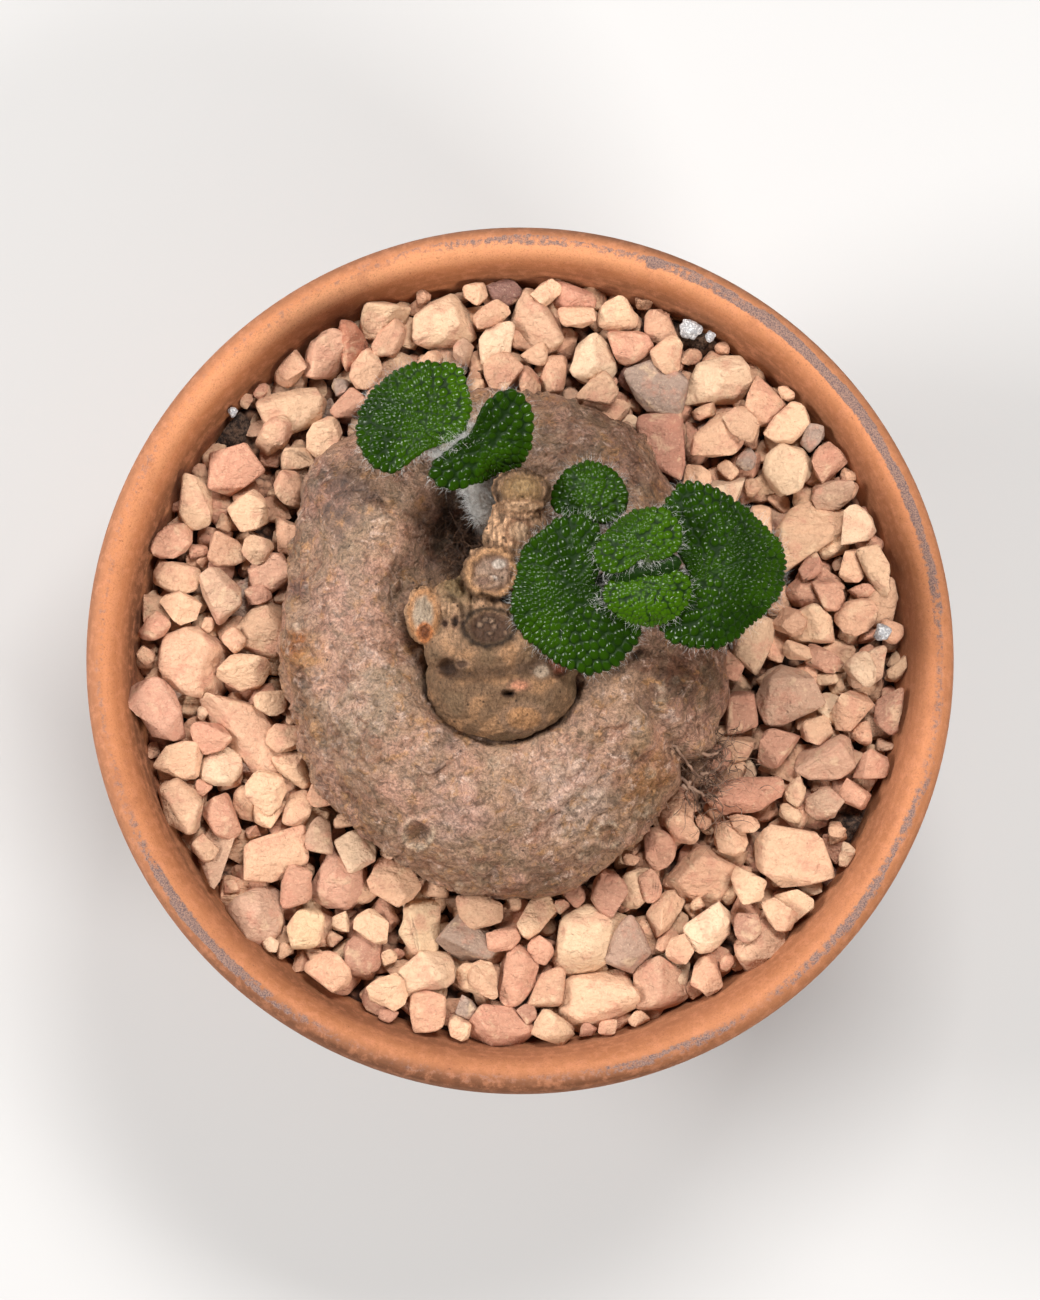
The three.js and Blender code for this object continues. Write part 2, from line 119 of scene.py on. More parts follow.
def rounded(corner, before, after, radius):
    """Five points that round a corner off, from [radius, height] points."""
    corner, before, after = (np.array(point, float) for point in (corner, before, after))
    start = corner + (before - corner) * radius / np.linalg.norm(before - corner)
    end = corner + (after - corner) * radius / np.linalg.norm(after - corner)
    shares = np.linspace(0, 1, 5)[:, None]
    return list((1 - shares) ** 2 * start + 2 * shares * (1 - shares) * corner + shares ** 2 * end)


def turned(profile, steps):
    """A closed ring turned round the vertical axis from [radius, height] points."""
    shape = bmesh.new()
    verts = [shape.verts.new((radius, 0, height)) for radius, height in profile]
    edges = [shape.edges.new(pair) for pair in zip(verts, verts[1:] + verts[:1])]
    bmesh.ops.spin(
        shape, geom=verts + edges, cent=(0, 0, 0), axis=(0, 0, 1), angle=TURN, steps=steps, use_merge=True
    )
    bmesh.ops.recalc_face_normals(shape, faces=shape.faces[:])
    return shape


def add_piece(name, shape, finish, slot, *nodes):
    """Makes a shape an object of the plant, in metres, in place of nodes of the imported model."""
    bmesh.ops.scale(shape, vec=(MM, MM, MM), verts=shape.verts[:])
    mesh = bpy.data.meshes.new(name)
    shape.to_mesh(mesh)
    shape.free()
    mesh.polygons.foreach_set("use_smooth", [True] * len(mesh.polygons))
    mesh.materials.append(finish)
    piece = bpy.data.objects.new(name, mesh)
    bpy.context.scene.collection.objects.link(piece)
    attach(piece, "root")
    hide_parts(*nodes)
    return piece


def places_of(piece):
    """The places of a finished piece's points, in millimetres."""
    return np.array([vert.co for vert in piece.data.vertices]) / MM


def paint(piece, name, values):
    """Keeps a number or a colour for each point of a piece, for its material to read."""
    values = np.asarray(values, np.float32)
    if values.ndim == 1:
        piece.data.attributes.new(name, "FLOAT", "POINT").data.foreach_set("value", values)
    else:
        coloured = np.hstack([values, np.ones((len(values), 1), np.float32)])
        piece.data.attributes.new(name, "FLOAT_COLOR", "POINT").data.foreach_set("color", coloured.ravel())


def tone(red, green, blue):
    """The colour of a surface that looks like this, from 0 to 255, in the scene's light."""
    brightness = 1.25  # of the light on a surface that faces up
    seen = [share / 255 for share in (red, green, blue)]
    plain = [share / 12.92 if share < 0.04045 else ((share + 0.055) / 1.055) ** 2.4 for share in seen]
    return tuple(share / brightness for share in plain) + (1,)


class Finish:
    """A material of one shader, with a pattern that is measured in millimetres on the piece."""

    def __init__(self, name, roughness, **settings):
        self.material = bpy.data.materials.new(name)
        self.material.use_nodes = True
        self.tree = self.material.node_tree
        self.shader = self.tree.nodes["Principled BSDF"]
        self.shader.inputs["Roughness"].default_value = roughness
        for socket, value in settings.items():
            self.shader.inputs[socket.replace("_", " ")].default_value = value
        inputs = {0: self.node("ShaderNodeTexCoord").outputs["Object"], "Scale": 1 / MM}
        self.place = self.node("ShaderNodeVectorMath", inputs, operation="SCALE").outputs[0]

    def node(self, kind, inputs=None, **settings):
        made = self.tree.nodes.new(kind)
        for name, value in settings.items():
            setattr(made, name, value)
        for name, value in (inputs or {}).items():
            if isinstance(value, bpy.types.NodeSocket):
                self.tree.links.new(value, made.inputs[name])
            else:
                made.inputs[name].default_value = value
        return made

    def stretched(self, x, y, z):
        return self.node("ShaderNodeMapping", {"Vector": self.place, "Scale": (x, y, z)}).outputs[0]

    def cloudy(self, size, detail=3, roughness=0.55, distortion=0, at=None):
        """Soft patches about this many millimetres across, from 0 to 1."""
        inputs = {"Vector": at or self.place, "Scale": 1 / size, "Detail": detail, "Roughness": roughness}
        return self.node("ShaderNodeTexNoise", {**inputs, "Distortion": distortion}).outputs[0]

    def cells(self, size):
        """How far each place is from the nearest of many spots, which lie about this far apart."""
        inputs = {"Vector": self.place, "Scale": 1 / size}
        return self.node("ShaderNodeTexVoronoi", inputs).outputs["Distance"]

    def levels(self, value, low, high, to_low=0, to_high=1):
        """Runs softly from one result to the other, while the value runs from low to high."""
        inputs = {0: value, 1: low, 2: high, 3: to_low, 4: to_high}
        return self.node("ShaderNodeMapRange", inputs, interpolation_type="SMOOTHSTEP").outputs[0]

    def combined(self, operation, first, second):
        return self.node("ShaderNodeMath", {0: first, 1: second}, operation=operation).outputs[0]

    def mix(self, share, first, second, mode="MIX"):
        inputs = {0: share, 6: first, 7: second}
        return self.node("ShaderNodeMix", inputs, data_type="RGBA", blend_type=mode).outputs[2]

    def patched(self, colour, cloud, low, high, strength, seen):
        """The colour with soft patches of another one laid over it."""
        share = self.levels(self.cloudy(*cloud), low, high, 0, strength)
        return self.mix(share, colour, tone(*seen))

    def painted(self, name, output="Fac"):
        return self.node("ShaderNodeAttribute", attribute_name=name).outputs[output]

    def raised(self, height, depth, on=None):
        """A relief this many millimetres deep, on top of another one."""
        inputs = {"Height": height, "Distance": depth * MM}
        if on:
            inputs["Normal"] = on
        return self.node("ShaderNodeBump", inputs).outputs[0]

    def done(self, colour, normal=None, roughness=None):
        for socket, value in (("Base Color", colour), ("Normal", normal), ("Roughness", roughness)):
            if value:
                self.tree.links.new(value, self.shader.inputs[socket])
        return self.material


def clay_finish():
    clay = Finish("fired_clay", 0.82)
    warm = clay.mix(clay.levels(clay.cloudy(26, 4), 0.35, 0.65), tone(192, 123, 80), tone(178, 111, 68))
    # painted light: the top of the lip is paler
    warm = clay.mix(clay.painted("painted_light_crest"), warm, tone(214, 139, 92))
    # painted shade and painted light from the patches on the rim and the inner wall
    warm = clay.mix(clay.painted("painted_shade"), warm, tone(104, 62, 38))
    warm = clay.mix(clay.painted("paler"), warm, tone(250, 178, 128))
    turned_marks = clay.cloudy(1.6, 3, at=clay.stretched(0.03, 0.03, 1))
    warm = clay.mix(clay.levels(turned_marks, 0.35, 0.7, 0, 0.3), warm, tone(206, 136, 92))
    warm = clay.patched(warm, (7, 5, 0.65), 0.5, 0.7, 0.4, (168, 104, 70))
    warm = clay.patched(warm, (0.9, 2), 0.66, 0.76, 0.55, (104, 62, 42))  # pores
    bloom = clay.levels(clay.cloudy(17, 5, 0.65), 0.56, 0.75)
    warm = clay.mix(clay.combined("MULTIPLY", bloom, clay.painted("damp")), warm, tone(214, 178, 148))
    warm = clay.patched(warm, (2.4, 5, 0.7), 0.45, 0.65, 0.35, (222, 148, 108))
    warm = clay.patched(warm, (0.5, 3, 0.7), 0.5, 0.66, 0.35, (140, 86, 58))
    specks = clay.levels(clay.cloudy(0.34, 3, 0.7), 0.4, 0.6)
    worn = clay.mix(specks, tone(94, 80, 82), tone(160, 126, 110))
    broken = clay.levels(clay.cloudy(1.2, 4, 0.7), 0.38, 0.6, -0.26, 0.06)
    share = clay.levels(clay.combined("ADD", clay.painted("wear"), broken), 0.13, 0.5, 0, 0.92)
    colour = clay.mix(share, warm, worn)
    grain = clay.raised(clay.cloudy(0.4, 4, 0.7), 0.16)
    return clay.done(colour, clay.raised(turned_marks, 0.16, grain))


def pan_profile():
    outside = [(DRAIN_RADIUS, 0), (FOOT_RADIUS, 0)]
    outside += [(WALL_TOP_RADIUS, COLLAR_BOTTOM), (COLLAR_RADIUS, COLLAR_BOTTOM)]
    lip = [(RIM_RADIUS - inwards, PAN_HEIGHT - down) for inwards, down in LIP]
    lip.append((INNER_TOP_RADIUS, LIP_START))
    inside = [(INNER_FLOOR_RADIUS, FLOOR_THICKNESS), (DRAIN_RADIUS, FLOOR_THICKNESS)]
    return [
        *rounded(outside[0], inside[1], outside[1], 0.8),
        *rounded(outside[1], outside[0], outside[2], 1.6),
        *rounded(outside[2], outside[1], outside[3], 1),
        *rounded(outside[3], outside[2], lip[0], 1.8),
        *curve_through(lip, 36),
        *curve_through([lip[-1], inside[0]], 10)[1:-1],
        *rounded(inside[0], lip[-1], inside[1], 5),
        *rounded(inside[1], inside[0], outside[0], 0.8),
    ]


pan = add_piece("clay_pan", turned(pan_profile(), PAN_STEPS), clay_finish(), "clay", "pan")
pan_x, pan_y, pan_level = places_of(pan).T
pan_reach = np.hypot(pan_x, pan_y)
pan_direction = np.degrees(np.arctan2(pan_y, pan_x))


def degrees_from(direction):
    """How many degrees round the rim each point of the pan lies from a direction."""
    return (pan_direction - direction + 180) % 360 - 180


wear_strength = np.full(len(pan_reach), WEAR_FAINT)
for direction, spread, strength in WEAR_STRETCHES:
    wear_strength += (strength - WEAR_FAINT) * bell(degrees_from(direction), spread)
chip = 1.6 * bell(np.hypot(pan_x - CHIP[0], pan_y - CHIP[1]), CHIP_REACH)
rim_turn = np.radians(pan_direction)
along_rim = [Vector(place) for place in zip(13 * np.cos(rim_turn), 13 * np.sin(rim_turn), pan_reach)]
wander = np.array([noise.noise(place * 0.9 + Vector((5, 5, 5))) for place in along_rim])
from_wear = (pan_reach - WEAR_RADIUS - 0.5 * wander) / (WEAR_HALF_WIDTH * (1 + 0.4 * wander))
on_lip = np.exp(-from_wear ** 4) * (pan_level > PAN_HEIGHT - WEAR_DEPTH)
rubbed = [0.9 + 1.5 * noise.noise(place) + 0.8 * noise.noise(place * 2.3) for place in along_rim]
paint(pan, "wear", wear_strength * on_lip * np.clip(rubbed, 0.7, 1.1) + chip)
# painted shade and painted light, laid on the clay by direction round the rim
shades = np.zeros(len(pan_reach))
for direction, spread, radius, reach, strength in CLAY_SHADE_AND_LIGHT:
    away = np.hypot(degrees_from(direction) / spread, (pan_reach - radius) / reach)
    shades += strength * bell(away) * (pan_level > COLLAR_BOTTOM)
paint(pan, "painted_shade", np.clip(shades, 0, 1))
paint(pan, "paler", np.clip(-shades, 0, 1))
# painted light on the top of the lip
paint(pan, "painted_light_crest", smooth_step(pan_level, PAN_HEIGHT - 2.2, PAN_HEIGHT - 0.4))
paint(pan, "damp", np.clip(1 - pan_level / COLLAR_BOTTOM, 0, 1) * 0.7)


# The potting soil fills the pan under the gravel. It is a loose mix of peat, grit and bark crumbs, and the
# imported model's own solid is the right shape for it.
def soil_finish():
    soil = Finish("potting_soil", 1)
    crumbs = soil.cells(2.2)
    colour = soil.mix(soil.levels(crumbs, 0.1, 0.8), tone(66, 48, 38), tone(30, 21, 17))
    colour = soil.patched(colour, (1.3, 2), 0.6, 0.68, 0.6, (128, 100, 80))
    return soil.done(colour, soil.raised(soil.combined("ADD", crumbs, soil.cloudy(0.8)), 0.8))


potting_soil = soil_finish()
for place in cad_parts["soil"].material_slots:
    place.material = potting_soil


# The tuber: one grown body, partly above the gravel. It is a thick ring that has swollen round a sunken
# middle, with thin papery bark, old root scars and a crease where two of its lobes have met.
TUBER_CENTRE = (-3.7, 3.1)
TUBER_GIRTH_HEIGHT = 107.5
TUBER_DEPTH = 31
TUBER_RISE = 33
TUBER_OUTLINE = [54, 55, 55.6, 61.5, 61.5, 62.4, 63, 55, 53.4, 53.6, 55.6, 58.2, 61, 59.6, 53, 54.2]
PIT_CENTRE = (-8, 13)
PIT_RADII = (19, 30)
PIT_DEPTH = 25
POINTS_ABOVE = 0.56  # share of the way from the tuber's top to its bottom that the fine upper skin covers


def outline_radius(radii, angle):
    """A smooth closed outline through radii that are given at equal steps of angle."""
    radii = np.asarray(radii, float)
    place = np.mod(np.asarray(angle) / TURN, 1) * len(radii)
    index = np.floor(place).astype(int)
    around = [radii[(index + step) % len(radii)] for step in (-1, 0, 1, 2)]
    return curve_between(place - index, *around)


def tuber_skin(directions):
    """The points of the tuber's skin in these directions from its middle."""
    x, y, z = directions.T
    angle = np.arctan2(y, x)
    radius = outline_radius(TUBER_OUTLINE, angle) * np.hypot(x, y) ** 0.8
    x, y = TUBER_CENTRE[0] + radius * np.cos(angle), TUBER_CENTRE[1] + radius * np.sin(angle)
    level = np.abs(z) ** 0.9
    ring = TUBER_RISE * (1 - 0.13 * np.cos(angle - 0.9) + 0.05 * np.cos(3 * angle + 0.6))
    across, along = (x - PIT_CENTRE[0]) / PIT_RADII[0], (y - PIT_CENTRE[1]) / PIT_RADII[1]
    pit = PIT_DEPTH * np.exp(-(across ** 2 + along ** 2) ** 1.3)
    above = ring * level - smooth_step(z, 0, 0.45) * pit
    return np.stack([x, y, TUBER_GIRTH_HEIGHT + np.where(z < 0, -TUBER_DEPTH * level, above)], axis=1)


def lumps(point, size, seed):
    """Height of soft lumps of this size at a point, from about -1 to 1. Each seed gives other lumps."""
    return noise.noise(Vector(point) / size + Vector((seed, 0.3 * seed, -seed)))


def lumps_at(places, size, seed):
    return np.array([lumps(place, size, seed) for place in places])


def points_of(shape):
    return np.array([vert.co for vert in shape.verts])


def move_points(shape, places):
    for vert, place in zip(shape.verts, places):
        vert.co = place
    shape.normal_update()


def lift_skin(shape, lift):
    """Moves each point of a shape outwards by its own lift."""
    normals = np.array([vert.normal for vert in shape.verts])
    move_points(shape, points_of(shape) + lift[:, None] * normals)


BARK_TOP = TUBER_GIRTH_HEIGHT - 12  # scars and folds are made above this level
# Scars of old shoots in the bark: place, radius, and how far the middle and the rim are lifted.
CRATERS = [
    ((-24.2, -42.2), 3.4, -1.5, 0.7),
    ((20.7, -42.7), 2.8, -1.2, 0.6),
    ((31.5, -38), 1.3, -0.5, 0.3),
    ((-51, -1), 3.6, 0.6, 0.7),
    ((-51, -11.5), 2.4, -1.1, 0.4),
]
CRATER_RIM = 0.16  # half the width of a scar's rim, as a share of its radius
CREASE = [(29, -8), (33, -17), (39, -25), (45, -31)]
CREASE_DEPTH = 2.2
RING_SCARS = 90
SHINY_PLACES = [((13, -33), 12), ((-40, -14), 14), ((4, 48), 10)]  # place and reach
FOOT_EDGE = (-4.4, -7.4), (17.6, 12.8)  # middle and half sizes of the outline of the crown's swollen foot
FOOT_HOLLOW = 1.2  # how far the skin dips round that foot
TUBER_CELLS = 256  # of the sheet that becomes the upper skin, on each side


def pillow(fine, coarse):
    """A closed pillow of two square sheets, a fine one above, and how many of its points that sheet has."""
    shape = bmesh.new()
    bmesh.ops.create_grid(shape, x_segments=fine, y_segments=fine, size=1)
    fine_points = len(shape.verts)
    below = Matrix.Translation((0, 0, -0.01))
    bmesh.ops.create_grid(shape, x_segments=coarse, y_segments=coarse, size=1, matrix=below)
    bmesh.ops.bridge_loops(shape, edges=[edge for edge in shape.edges if edge.is_boundary])
    return shape, fine_points


def on_disc(shape):
    """Where the points of a pillow lie when its square sheets are drawn to discs of radius 1."""
    x, y, _ = points_of(shape).T
    return x * np.sqrt(1 - y * y / 2), y * np.sqrt(1 - x * x / 2)


def from_mark(x, y, middle, half):
    """How far points lie from a mark's middle, as a share of the way to its rim."""
    return np.hypot((x - middle[0]) / half[0], (y - middle[1]) / half[1])


def from_foot(x, y):
    """How far points lie outside the outline of the crown's swollen foot, roughly in millimetres."""
    return (from_mark(x, y, *FOOT_EDGE) - 1) * 14


def glossy(x, y):
    """Where the skin is smooth and shiny, from 0 to 1."""
    return sum(bell(np.hypot(x - px, y - py), reach) for (px, py), reach in SHINY_PLACES)


def ring_scars():
    """Place and radius of the small round scars that old rootlets have left."""
    chance = np.random.default_rng(5)
    return [(chance.uniform((-58, -55), (50, 62)), chance.uniform(0.5, 1.1)) for _ in range(RING_SCARS)]


def tuber_shape():
    shape, fine_points = pillow(TUBER_CELLS, TUBER_CELLS // 5)
    p, q = on_disc(shape)
    out, turn = np.hypot(p, q) ** 1.25, np.arctan2(q, p)
    upper = np.arange(len(p)) < fine_points
    fall = math.pi * np.where(upper, POINTS_ABOVE * out, 1 - (1 - POINTS_ABOVE) * out)
    directions = np.stack([np.sin(fall) * np.cos(turn), np.sin(fall) * np.sin(turn), np.cos(fall)], axis=1)
    move_points(shape, tuber_skin(directions))
    bmesh.ops.recalc_face_normals(shape, faces=shape.faces[:])
    places = points_of(shape)
    x, y, z = places.T
    lift = 1.4 * lumps_at(places, 17, 1) + 1.3 * lumps_at(places, 6.5, 2) + 0.15 * lumps_at(places, 1.2, 5)
    bubbly = smooth_step(lumps_at(places, 14, 22) + 1.2 * glossy(x, y), -0.2, 0.5)
    lift += (0.5 + 1.7 * bubbly) * (np.abs(lumps_at(places, 3.6, 3)) + 0.5 * np.abs(lumps_at(places, 1.8, 4)))
    on_top = z > BARK_TOP
    ragged = 0.2 * lumps_at(places, 1.5, 4)
    for (cx, cy), radius, middle, rim in CRATERS:
        away = np.hypot(x - cx, y - cy) / radius + ragged
        lift += on_top * (middle * bell(away, 0.62) + 1.4 * rim * bell(away - 1, CRATER_RIM))
    for (cx, cy), radius in ring_scars():
        away = np.hypot(x - cx, y - cy) / radius
        lift += on_top * (0.35 * bell(away - 0.9, 0.35) - 0.1 * bell(away))
    lift -= on_top * FOOT_HOLLOW * bell(np.clip(from_foot(x, y), 0, None), 1.2)
    nearest = np.min([np.hypot(x - cx, y - cy) for cx, cy in curve_through(CREASE, 16)], axis=0)
    lift -= on_top * (CREASE_DEPTH * bell(nearest, 2.2) - 0.8 * bell(nearest - 5, 2.5))
    lift_skin(shape, lift)
    return shape


PLAIN_BARK = (186, 146, 117)
CONTACT_SHADE_TONE = (52, 36, 28)  # of the painted shade, a dark line where the crown's foot meets the skin
# Stains of the bark, with painted shade and painted highlights among them: place, reach, colour as seen, and
# strength.
STAINS_SHADE_AND_SHEEN = [
    ((-47, 38), 13, (112, 84, 72), 0.85),
    ((-30, 55), 12, (128, 98, 82), 0.6),
    ((22, 57), 16, (128, 92, 70), 0.7),
    ((40, 38), 12, (132, 96, 76), 0.7),
    ((46, 0), 17, (118, 86, 68), 0.9),
    ((38, -8), 12, (122, 88, 70), 0.7),
    ((-50.5, -1), 8, (196, 140, 84), 1),
    ((-53.4, 3), 4, (176, 104, 44), 1),
    ((-51, -6.5), 4.4, (112, 78, 54), 0.9),
    ((-53, -13), 5, (168, 122, 84), 0.8),
    ((-53, 16), 4, (128, 84, 74), 0.8),
    # painted highlight: the sheen on the front of the ring
    ((13, -33), 10, (228, 192, 170), 1),
    ((-14, -38), 9, (206, 164, 146), 0.7),
    ((0, -42), 10, (190, 150, 128), 0.5),
    ((24, -26), 9, (190, 148, 122), 0.6),
    ((31, -27), 9, (176, 124, 78), 0.9),
    ((-8, -49), 10, (160, 128, 98), 0.6),
    ((8, -52), 6, (140, 98, 80), 0.7),
    ((-17.6, -20.6), 4, (140, 112, 106), 0.7),
    ((-42, 12), 12, (186, 150, 128), 0.6),
    # painted highlight: paler on the left flank
    ((-40, -10), 13, (204, 176, 150), 0.6),
    ((32, -42), 11, (150, 110, 80), 0.6),
    # painted shade: dark where the roots go down in the crease
    ((43, -28), 5, (72, 48, 38), 0.9),
    ((0, -58), 9, (148, 108, 84), 0.7),
    # painted shade: dark in the sunken pit beside the crown
    ((-14, 30), 12, (66, 48, 38), 1),
    ((-36, -38), 10, (158, 112, 84), 0.6),
]


def plain_tone(seen):
    """A colour as seen, as three numbers for painting on points."""
    return np.array(tone(*seen)[:3])


def lay_over(colours, share, seen):
    """Lays a colour over the colours of points, with its own share at each point."""
    colours += share[:, None] * (plain_tone(seen) - colours)


def stained_shaded_and_lit(places):
    """The colour of each point, with stains, scars, painted shade and painted highlights laid over the plain
    bark.
    """
    x, y, _ = places.T
    colours = np.tile(plain_tone(PLAIN_BARK), (len(places), 1))
    ragged = 0.45 * lumps_at(places, 5, 6) + 0.3 * lumps_at(places, 2, 7)
    for (cx, cy), reach, seen, strength in STAINS_SHADE_AND_SHEEN:
        away = np.hypot(x - cx, y - cy) / reach + ragged
        lay_over(colours, strength * (1 - smooth_step(away, 0.35, 1.15)), seen)
    for (cx, cy), radius, *_ in CRATERS[:3]:
        away = np.hypot(x - cx, y - cy) / radius + 0.5 * ragged
        lay_over(colours, 0.7 * (1 - smooth_step(away, 0.5, 0.95)), (150, 110, 80))
        lay_over(colours, 0.8 * bell(away - 1, CRATER_RIM), (226, 198, 168))
    for (cx, cy), radius in ring_scars():
        lay_over(colours, 0.45 * bell(np.hypot(x - cx, y - cy) / radius - 1, 0.4), (226, 198, 168))
    # painted shade round the crown's foot
    lay_over(colours, 0.75 * bell(np.clip(from_foot(x, y) - 0.3, 0, None), 0.9), CONTACT_SHADE_TONE)
    return colours


def bark_finish():
    bark = Finish("tuber_bark", 0.5, Specular_IOR_Level=0.45)
    plain = bark.painted("bark", "Color")
    plain = bark.patched(plain, (16, 4, 0.6, 0.4), 0.44, 0.62, 0.6, (212, 158, 134))
    plain = bark.patched(plain, (11, 4, 0.6, 0.6), 0.49, 0.64, 0.55, (152, 126, 98))
    plain = bark.patched(plain, (7, 5, 0.65, 0.9), 0.52, 0.66, 0.65, (142, 94, 70))
    plain = bark.patched(plain, (5, 5, 0.7, 0.7), 0.53, 0.67, 0.65, (206, 150, 96))
    plain = bark.patched(plain, (4, 5, 0.7, 1), 0.55, 0.68, 0.7, (234, 198, 176))
    wrinkles = bark.cloudy(2.4, 5, 0.64, 1.4)
    scurf = bark.cloudy(0.55, 3, 0.65, 0.8)
    lines = bark.levels(wrinkles, 0.36, 0.54, 0.44, 0.82)
    shade = bark.combined("MULTIPLY", lines, bark.levels(scurf, 0.38, 0.62, 0.72, 1.24))
    plain = bark.mix(1, plain, shade, "MULTIPLY")
    pits = bark.levels(bark.cells(4.6), 0.04, 0.11, 0.85, 0)
    plain = bark.mix(pits, plain, tone(60, 38, 30))
    relief = bark.raised(scurf, 0.2, bark.raised(wrinkles, 0.9, bark.raised(bark.cloudy(4.5, 2), 1.5)))
    rough = bark.levels(bark.painted("gloss"), 0, 1, 0.56, 0.27)
    return bark.done(plain, relief, rough)


tuber = add_piece("tuber_body", tuber_shape(), bark_finish(), "bark", "tuber")
tuber_places = places_of(tuber)
# the bark's colours hold painted shade and painted highlights as well as stains
paint(tuber, "bark", stained_shaded_and_lit(tuber_places))
paint(tuber, "gloss", np.clip(glossy(*tuber_places[:, :2].T), 0, 1))


# The crown: knobbly old wood that stands in the tuber's sunken middle and has grown as one with it. Each
# round scar is where a shoot was cut or has dropped, and the swollen foot bulges over the tuber in front.
TRUNK = [  # place, and half the width across and upwards
    ((-6.4, -9, 129), (13, 15)),
    ((-6.8, 0.5, 129), (13.6, 16.6)),
    ((-6.6, 10, 128.5), (10.6, 16.6)),
    ((-5.6, 18.5, 129), (9, 16.6)),
    ((-1.6, 28, 131), (6.4, 15.4)),
    ((0.2, 37, 130), (4.6, 12)),
]
TRUNK_BLUNTNESS = 0.4
TRUNK_STEPS = 100  # along the trunk
CROWN_LUMPS = [  # middle and half sizes
    ((-4.4, -7.4, 135.4), (17.8, 13, 10)),  # the swollen foot
    ((-6.4, 3.6, 138), (14, 9.4, 8.6)),
    ((4, 0, 136), (11, 10, 8)),
    ((-21.6, 8.6, 137.4), (4.9, 6.9, 5.8)),  # the side stub
    ((-16.4, 1.6, 136.4), (6.4, 7, 8)),
    ((-14, 11, 136), (8, 6.4, 8)),
    ((-6.6, 18.2, 142.8), (6.8, 6.6, 4.8)),  # the stub of the upper scar
    ((-2.4, 26, 140), (6.4, 8, 7.6)),
    ((-0.6, 31.4, 139.6), (6, 7.4, 8)),
    ((0.4, 37.4, 144.8), (6.9, 5.2, 6.8)),  # the knob at the back
]
CROWN_GRAIN = 0.42  # size of the finished skin's faces
CROWN_CUT = (0, 0, 120), (0, -0.2, -1)  # the plane that ends the wood inside the tuber, and the way down
CROWN_TOP = 126  # scars and folds are made above this level
SHINY_KNOB = (0.4, 37.4), (7, 5.4)  # middle and half sizes of the part at the back that isn't dull
FOOT_TONE = (130, 99, 73)
WOOD_TONE = (214, 168, 130)
FOLD_SHADE_TONE = (58, 40, 30)
# Scars and spots, and a painted highlight on the knob: place, half sizes, lift of the middle and of the rim,
# colours of the middle and of the rim.
CROWN_MARKS = [
    ((-14.6, 15.8), (4.2, 4), 0, 0, (140, 114, 80), (150, 120, 88)),
    ((-7.2, 5.6), (6, 4.4), -1, 0.4, (84, 60, 46), (20, 12, 8)),
    ((-9.4, 6.2), (0.9, 0.8), 0.4, 0, (146, 117, 94), (70, 52, 42)),
    ((-8.2, 7.4), (0.9, 0.7), 0.4, 0, (150, 120, 97), (70, 52, 42)),
    ((-6.6, 7.2), (0.8, 0.9), 0.4, 0, (158, 128, 104), (70, 52, 42)),
    ((-6, 5.8), (0.7, 0.9), 0.35, 0, (140, 110, 88), (70, 52, 42)),
    ((-7, 4.2), (0.9, 0.6), 0.35, 0, (140, 110, 88), (70, 52, 42)),
    ((-3.4, 4.4), (0.6, 0.8), 0.3, 0, (132, 102, 80), (70, 52, 42)),
    ((-6.6, 18.2), (6.7, 6.4), 0, -0.4, (200, 150, 108), (104, 74, 52)),
    ((-6.6, 18.3), (5.4, 5.1), -1, 0.9, (164, 132, 112), (214, 162, 116)),
    ((-6.6, 18.3), (4.3, 4), 0, 0, (172, 142, 120), (118, 86, 64)),
    ((-5, 20.4), (2.1, 1.5), 0.3, 0, (208, 190, 174), (150, 120, 102)),
    ((-6.4, 17), (1.4, 0.9), 0.3, 0, (204, 186, 170), (130, 102, 86)),
    ((-8.6, 16.4), (2.2, 1.3), -0.4, 0.1, (140, 108, 90), (180, 142, 114)),
    ((-22.8, 8.8), (3.1, 5.6), -0.9, 0.5, (190, 168, 144), (190, 136, 92)),
    ((-22.4, 4.6), (1.6, 2), -0.8, 0.1, (122, 66, 34), (196, 118, 66)),
    ((8.6, -3), (2.4, 2.8), -0.5, 0.4, (142, 82, 62), (76, 48, 36)),
    ((-0.2, 28), (2.9, 2.8), 0, 0.3, (204, 166, 132), (150, 108, 80)),
    ((-2.7, -9.9), (1.7, 0.9), -1.5, 0.2, (34, 22, 16), (88, 62, 44)),
    ((-0.1, -8), (2.6, 1.4), 0.3, 0, (206, 140, 108), (150, 110, 84)),
    ((-16.9, -3.7), (2.4, 2.2), -0.7, 0.3, (84, 60, 44), (124, 90, 66)),
    ((-15.2, 7), (0.9, 1.5), -0.8, 0.1, (52, 36, 28), (124, 90, 70)),
    ((-17.6, 6.6), (0.7, 1.1), -0.6, 0.1, (70, 48, 38), (140, 106, 84)),
    ((0.8, -15.6), (5, 3.2), 0, 0, (184, 134, 92), (150, 116, 90)),
    ((5, -4.6), (2.4, 1.9), 0.2, 0, (182, 158, 134), (130, 100, 78)),
    ((0.4, 37.8), (6.3, 4.5), 0, 0, (152, 118, 82), (56, 38, 25)),
    # painted highlight: the paler middle on top of the knob
    ((0.6, 38.2), (3.4, 1.9), 0, 0, (176, 142, 100), (156, 122, 84)),
    ((0.2, 33.6), (5.4, 1.4), 0.3, 0.2, (216, 172, 134), (176, 134, 100)),
    ((-13.6, -3), (1.6, 1), -0.2, 0.2, (96, 70, 54), (150, 116, 90)),
]
